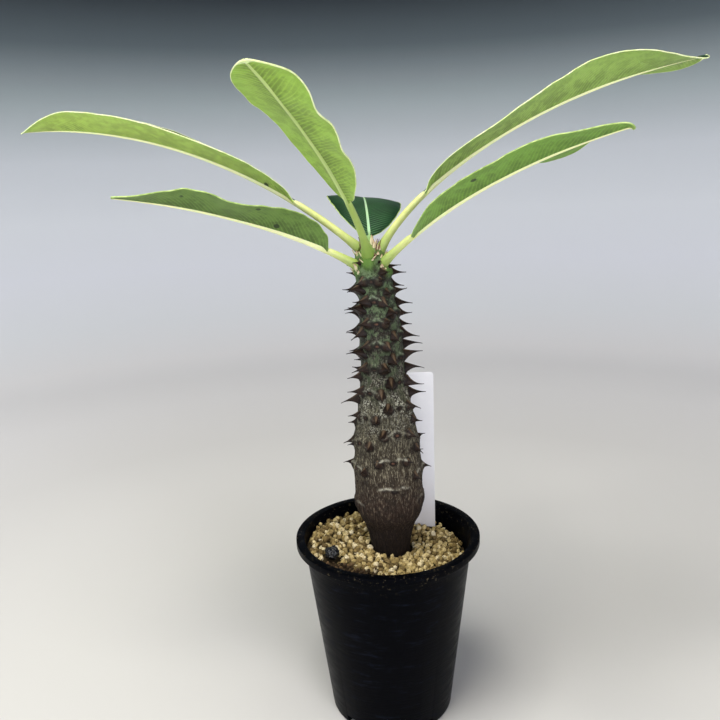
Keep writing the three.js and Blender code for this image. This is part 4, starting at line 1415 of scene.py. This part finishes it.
def makeLabel():
    middle = label["right"] - label["width"] / 2
    shoulder = label["bottom"] + label["taper"]
    height = label["top"] - shoulder
    clearSelection()
    bpy.ops.mesh.primitive_cube_add(size=1, location=Vector((middle, label["y"], shoulder + height / 2)) * mm)
    strip = bpy.context.object
    strip.name = "plantLabel"
    strip.scale = Vector((label["width"], label["thick"], height)) * mm
    applyPlace(strip)
    startEditing(strip, "FACE")
    bpy.ops.mesh.select_all(action="DESELECT")
    stopEditing()
    lowest = min(strip.data.polygons, key=lambda face: face.center.z)
    lowest.select = True
    bpy.ops.object.mode_set(mode="EDIT")
    bpy.ops.mesh.extrude_region_move(TRANSFORM_OT_translate={"value": (0, 0, -label["taper"] * mm)})
    bpy.ops.transform.resize(value=(label["endWidth"] / label["width"], 1, 1),
                             center_override=(middle * mm, 0, 0))
    stopEditing()
    # rounds the two upper corners, then breaks every edge
    for edge in strip.data.edges:
        ends = [strip.data.vertices[i].co for i in edge.vertices]
        edge.select = all(abs(end.z - label["top"] * mm) < 1e-6 for end in ends) and abs(
            ends[0].x - ends[1].x) < 1e-6
    bpy.ops.object.mode_set(mode="EDIT")
    bpy.ops.mesh.select_mode(type="EDGE")
    bpy.ops.mesh.bevel(offset=label["corner"] * mm, segments=5)
    stopEditing()
    for i in range(1, label["bands"]):
        startEditing(strip)
        z = lerp(shoulder, label["top"] - 2 * label["corner"], i / label["bands"])
        bpy.ops.mesh.bisect(plane_co=(0, 0, z * mm), plane_no=(0, 0, 1))
        stopEditing()
    for vertex in strip.data.vertices:
        along = (vertex.co.z / mm - label["bottom"]) / (label["top"] - label["bottom"])
        vertex.co.y += label["bow"] * math.sin(math.pi * along) * mm
    applyModifier(strip, "BEVEL", width=label["edge"] * mm, segments=2, limit_method="ANGLE",
                  angle_limit=math.radians(40))
    shadeSmooth(strip, 40)
    dress(strip, "plant_label", "label_plastic", labelPlastic())


def labelPlastic():
    # Extruded white PVC strip: satin, faintly lavender, with dried water marks near the soil.
    settings = {"IOR": 1.53, "Subsurface Weight": 0.15, "Subsurface Radius": (1, 1, 1),
                "Subsurface Scale": 0.001}
    material, tree, shader = startMaterial("labelPvc", settings)
    place = addNode(tree, "TexCoord")
    marks = addNode(tree, "TexNoise", {"Scale": 120, "Detail": 5, "Roughness": 0.65},
                    {"Vector": (place, "Object")})
    height = addNode(tree, "SeparateXYZ", {}, {"Vector": (place, "Object")})
    low = addNode(tree, "MapRange", {"From Min": 0.095, "From Max": 0.072, "To Max": 0.5},
                  {"Value": (height, "Z")})
    stained = addNode(tree, "Math", {"operation": "MULTIPLY"},
                      {"Value": (marks, "Fac"), "Value_001": (low, "Result")})
    clean = addNode(tree, "Mix", {"data_type": "RGBA", "A_Color": hexColour("#d3d5d9"),
                                  "B_Color": hexColour("#e4e5e7")}, {"Factor_Float": (marks, "Fac")})
    dirty = addNode(tree, "Mix", {"data_type": "RGBA", "B_Color": hexColour("#a89c84")},
                    {"Factor_Float": (stained, "Value"), "A_Color": (clean, "Result_Color")})
    plug(tree, dirty, "Result_Color", shader, "Base Color")
    gloss = addNode(tree, "MapRange", {"To Min": 0.35, "To Max": 0.5}, {"Value": (marks, "Fac")})
    plug(tree, gloss, "Result", shader, "Roughness")
    return material


makeLabel()
print("label made")


# Soil: a bed of fine dark crumbs under a loose cover of tan grit

soil = {
    "level": 70.3,
    "slope": -0.1,  # rise for each millimetre towards +X
    "floorGap": 0.3,
    "wallGap": 0.3,
    "bedDrop": 1.0,  # the bed lies this much under the mean surface
    "bedSides": 120,
    "bedRings": 40,
    "bedSideRows": 8,
    "relief": 0.9,
    "heapX": 15,  # the soil is heaped a little against the label
    "heapY": 15,
    "heapReach": 9,
    "heapRise": 2.4,
}
grit = {
    "layers": [  # how deep a layer lies, its spacing and the grains' width
        {"sink": 1.5, "spacing": 2.5, "width": (2.0, 3.0)},
        {"sink": 0.35, "spacing": 2.35, "width": (2.0, 3.1)},
        {"sink": -0.55, "spacing": 4.1, "width": (1.9, 3.0)},
    ],
    "kinds": 7,
    "roughness": 0.22,
    "facets": 6,
    "facetReach": 0.34,  # from a grain's middle to its broken faces, where its width is 1
    "stemGap": 0.3,
    "seed": 40,
}
# The moist patch at the front left, where brown crumbs show between the grains.
moist = {"x": -12, "y": -23.5, "along": 17, "across": 5.4, "turn": -24, "width": (0.9, 1.9)}


def surfaceHeight(x, y):
    swell = noise.noise(Vector((x * 0.09, y * 0.09, 4)))
    away = math.hypot(x - soil["heapX"], y - soil["heapY"]) / soil["heapReach"]
    heap = soil["heapRise"] * math.exp(-away * away)
    return soil["level"] + soil["slope"] * x + soil["relief"] * swell + heap


def moistShare(x, y):
    turn = math.radians(moist["turn"])
    dx, dy = x - moist["x"], y - moist["y"]
    along = (dx * math.cos(turn) + dy * math.sin(turn)) / moist["along"]
    across = (dy * math.cos(turn) - dx * math.sin(turn)) / moist["across"]
    return 1 - smoothStep(math.hypot(along, across), 0.6, 1.25)


def makeSoilBed():
    low = pot["floor"] + soil["floorGap"]
    side = soil["bedSideRows"]
    rings = soil["bedRings"]
    rows = side + rings + 2

    def place(column, row):
        azimuth = column * 360 / soil["bedSides"]
        if row == 0:
            return Vector((0, 0, low)), 0
        if row <= side:
            edge = outward(azimuth) * (insideWall(soil["level"]) - soil["wallGap"])
            top = surfaceHeight(edge.x, edge.y) - soil["bedDrop"]
            z = lerp(low, top, (row - 1) / (side - 1))
            spot = outward(azimuth) * (insideWall(z) - soil["wallGap"])
            return Vector((spot.x, spot.y, z)), 0
        share = 1 - (row - side) / (rings + 2)
        spot = outward(azimuth) * (share * (insideWall(soil["level"]) - soil["wallGap"]))
        if row == rows:
            spot = Vector((0, 0, 0))
        crumbs = noise.fractal(Vector((spot.x * 0.8, spot.y * 0.8, 1)), 1.0, 2.0, 4)
        z = surfaceHeight(spot.x, spot.y) - soil["bedDrop"] + 0.7 * crumbs
        return Vector((spot.x, spot.y, z)), moistShare(spot.x, spot.y)

    bed = rollSheet("soilBed", soil["bedSides"], rows, place, ("moistShare",))
    shadeSmooth(bed)
    dress(bed, "soil", "soil_grit", soilCrumb())


def makeGrainKinds():
    # a few lumpy grains modelled once, which all others copy
    kinds = []
    for i in range(grit["kinds"]):
        clearSelection()
        bpy.ops.mesh.primitive_ico_sphere_add(subdivisions=2, radius=0.5)
        grain = bpy.context.object
        squash = Vector((1.0, 0.82 + 0.05 * (i % 3), 0.7 + 0.06 * (i % 4)))
        for vertex in grain.data.vertices:
            spot = vertex.co.normalized()
            lump = noise.noise(spot * 1.7 + Vector((i * 5.3, 0, 0)))
            chip = noise.noise(spot * 4.1 + Vector((0, i * 3.7, 0)))
            vertex.co = spot * 0.5 * (1 + grit["roughness"] * (1.6 * lump + 0.8 * chip))
            vertex.co *= squash
            # flat broken faces
            for face in range(grit["facets"]):
                way = Vector((math.sin(i + 2.4 * face), math.cos(1.7 * i + 3.1 * face), math.sin(2.9 * face + i)))
                way.normalize()
                proud = vertex.co.dot(way) - grit["facetReach"]
                vertex.co -= way * max(0, proud)
        kinds.append(grain)
    return kinds


def layGrit():
    chance = random.Random(grit["seed"])
    kinds = makeGrainKinds()
    grains = []
    for layer in grit["layers"]:
        step = layer["spacing"]
        reach = int(36 / step) + 2
        for i in range(-reach, reach + 1):
            for j in range(-reach, reach + 1):
                x = (i + 0.5 * (j % 2)) * step + chance.uniform(-0.3, 0.3) * step
                y = j * step * 0.866 + chance.uniform(-0.3, 0.3) * step
                width = chance.uniform(*layer["width"])
                damp = moistShare(x, y)
                brown = chance.random() < 0.9 * damp
                if brown:
                    width = chance.uniform(*moist["width"])
                z = surfaceHeight(x, y) - layer["sink"] + chance.uniform(-0.4, 0.4)
                turns = [chance.uniform(0, math.pi * 2) for _ in range(3)]
                tone = chance.random()
                wall = insideWall(z) - soil["wallGap"] - width * 0.5
                stemEdge = stemRadius(z) + grit["stemGap"] + width * 0.28
                if math.hypot(x, y) > wall or math.hypot(x - stemMiddle(z).x, y) < stemEdge:
                    continue
                if math.hypot(x - stone["x"], y - stone["y"]) < stone["radius"] * 0.8 + width * 0.4:
                    continue
                if abs(y - label["y"]) < 0.6 + width * 0.45 and abs(x - label["right"] + 7) < 7 + width * 0.45:
                    continue
                source = kinds[chance.randrange(len(kinds))]
                grain = source.copy()
                grain.data = source.data.copy()
                grain.location = Vector((x, y, z)) * mm
                grain.rotation_euler = turns
                grain.scale = Vector((1, 1, 1)) * width * mm
                for mark, value in (("grainTone", tone), ("grainDamp", 1.0 if brown else damp * 0.35)):
                    layerData = grain.data.attributes.new(mark, "FLOAT", "POINT").data
                    layerData.foreach_set("value", [value] * len(grain.data.vertices))
                scene.collection.objects.link(grain)
                grains.append(grain)
    for kind in kinds:
        bpy.data.objects.remove(kind)
    cover = joinPieces(grains, "soilGrit")
    shadeSmooth(cover, 34)
    dress(cover, "soil", "soil_grit", gritPumice())
    print(len(grains), "grains laid")


def soilCrumb():
    # Fine peat and clay crumbs between the grains: dark olive brown, quite matt, and darker still as painted
    # shade in the gaps.
    material, tree, shader = startMaterial("pottingCrumbAndShade", {"Roughness": 0.95, "Specular IOR Level": 0.25})
    place = addNode(tree, "TexCoord")
    crumbs = addNode(tree, "TexNoise", {"Scale": 900, "Detail": 6, "Roughness": 0.7},
                     {"Vector": (place, "Object")})
    # the crumbs' own dark brown, darkened further as painted shade between the grains
    dry = addNode(tree, "Mix", {"data_type": "RGBA", "A_Color": hexColour("#191309"),
                                "B_Color": hexColour("#473b23")}, {"Factor_Float": (crumbs, "Fac")})
    damp = addNode(tree, "Attribute", {"attribute_name": "moistShare"})
    wet = addNode(tree, "Mix", {"data_type": "RGBA", "A_Color": hexColour("#1d150d"),
                                "B_Color": hexColour("#40301f")}, {"Factor_Float": (crumbs, "Fac")})
    mixed = addNode(tree, "Mix", {"data_type": "RGBA"},
                    {"Factor_Float": (damp, "Fac"), "A_Color": (dry, "Result_Color"),
                     "B_Color": (wet, "Result_Color")})
    plug(tree, mixed, "Result_Color", shader, "Base Color")
    bump = addNode(tree, "Bump", {"Strength": 0.8, "Distance": 0.0005}, {"Height": (crumbs, "Fac")})
    plug(tree, bump, "Normal", shader, "Normal")
    return material


def gritPumice():
    # Dry pumice and baked clay grit: tan to cream, pitted and quite matt, browner where damp.
    material, tree, shader = startMaterial("pumiceGrit", {"Roughness": 0.92, "Specular IOR Level": 0.3})
    place = addNode(tree, "TexCoord")
    tone = addNode(tree, "Attribute", {"attribute_name": "grainTone"})
    dry = addNode(tree, "ValToRGB", {"stops": [
        (0.0, "#5f4f31"), (0.22, "#8b7749"), (0.5, "#b09c66"), (0.8, "#d0bd88"), (1.0, "#e8dcb8")]},
        {"Fac": (tone, "Fac")})
    wet = addNode(tree, "ValToRGB", {"stops": [
        (0.0, "#22180f"), (0.6, "#463524"), (1.0, "#6d563a")]}, {"Fac": (tone, "Fac")})
    damp = addNode(tree, "Attribute", {"attribute_name": "grainDamp"})
    mixed = addNode(tree, "Mix", {"data_type": "RGBA"},
                    {"Factor_Float": (damp, "Fac"), "A_Color": (dry, "Color"), "B_Color": (wet, "Color")})
    pits = addNode(tree, "TexNoise", {"Scale": 1400, "Detail": 5, "Roughness": 0.7},
                   {"Vector": (place, "Object")})
    pitShare = addNode(tree, "MapRange", {"From Min": 0.52, "From Max": 0.36, "To Max": 0.7},
                       {"Value": (pits, "Fac")})
    pitted = addNode(tree, "Mix", {"data_type": "RGBA", "B_Color": hexColour("#4f4228")},
                     {"Factor_Float": (pitShare, "Result"), "A_Color": (mixed, "Result_Color")})
    plug(tree, pitted, "Result_Color", shader, "Base Color")
    bump = addNode(tree, "Bump", {"Strength": 0.7, "Distance": 0.0003}, {"Height": (pits, "Fac")})
    plug(tree, bump, "Normal", shader, "Normal")
    return material


# Dark stone on the soil

stone = {
    "x": -22.2,
    "y": -13,
    "radius": 2.9,
    "sink": 0.9,
    "stretch": (1.08, 1, 0.88),
    "chips": 0.34,
    "facets": 22,
    "facetReach": (0.86, 1.05),  # from the middle to the chipped faces, as a share of the radius
    "subdivisions": 5,
    "seed": 12,
}


def makeStone():
    clearSelection()
    z = soil["level"] + soil["slope"] * stone["x"] + stone["radius"] - stone["sink"]
    bpy.ops.mesh.primitive_ico_sphere_add(
        subdivisions=stone["subdivisions"], radius=stone["radius"] * mm,
        location=Vector((stone["x"], stone["y"], z)) * mm)
    lump = bpy.context.object
    lump.name = "blackStone"
    lump.scale = stone["stretch"]
    chance = random.Random(stone["seed"])
    faces = []
    for _ in range(stone["facets"]):
        way = Vector([chance.gauss(0, 1) for _ in range(3)]).normalized()
        faces.append((way, stone["radius"] * chance.uniform(*stone["facetReach"]) * mm))
    for vertex in lump.data.vertices:
        way = vertex.co.normalized()
        vertex.co *= 1 + stone["chips"] * noise.noise(way * 1.6 + Vector((2, 5, 1)))
        for normal, reach in faces:
            vertex.co -= normal * max(0, vertex.co.dot(normal) - reach)
        vertex.co *= 1 + stone["chips"] * 0.4 * noise.noise(way * 4.6)
    applyPlace(lump)
    shadeSmooth(lump, 22)
    dress(lump, "black_stone", "dark_stone", slagStone())


def slagStone():
    # Charred clinker: near black with a blue cast, with pale blue-grey flecks painted on as glints of small
    # bright facets.
    material, tree, shader = startMaterial("clinkerPaintedGlints", {"Roughness": 0.26})
    place = addNode(tree, "TexCoord")
    grain = addNode(tree, "TexNoise", {"Scale": 800, "Detail": 5, "Roughness": 0.7},
                    {"Vector": (place, "Object")})
    # the pale blue-grey top of the ramp is a painted glint
    toned = addNode(tree, "ValToRGB", {"stops": [
        (0.4, "#06070a"), (0.62, "#11141a"), (0.74, "#4a515c")]}, {"Fac": (grain, "Fac")})
    plug(tree, toned, "Color", shader, "Base Color")
    bump = addNode(tree, "Bump", {"Strength": 0.8, "Distance": 0.0004}, {"Height": (grain, "Fac")})
    plug(tree, bump, "Normal", shader, "Normal")
    return material


makeSoilBed()
layGrit()
makeStone()
print("soil and stone made")
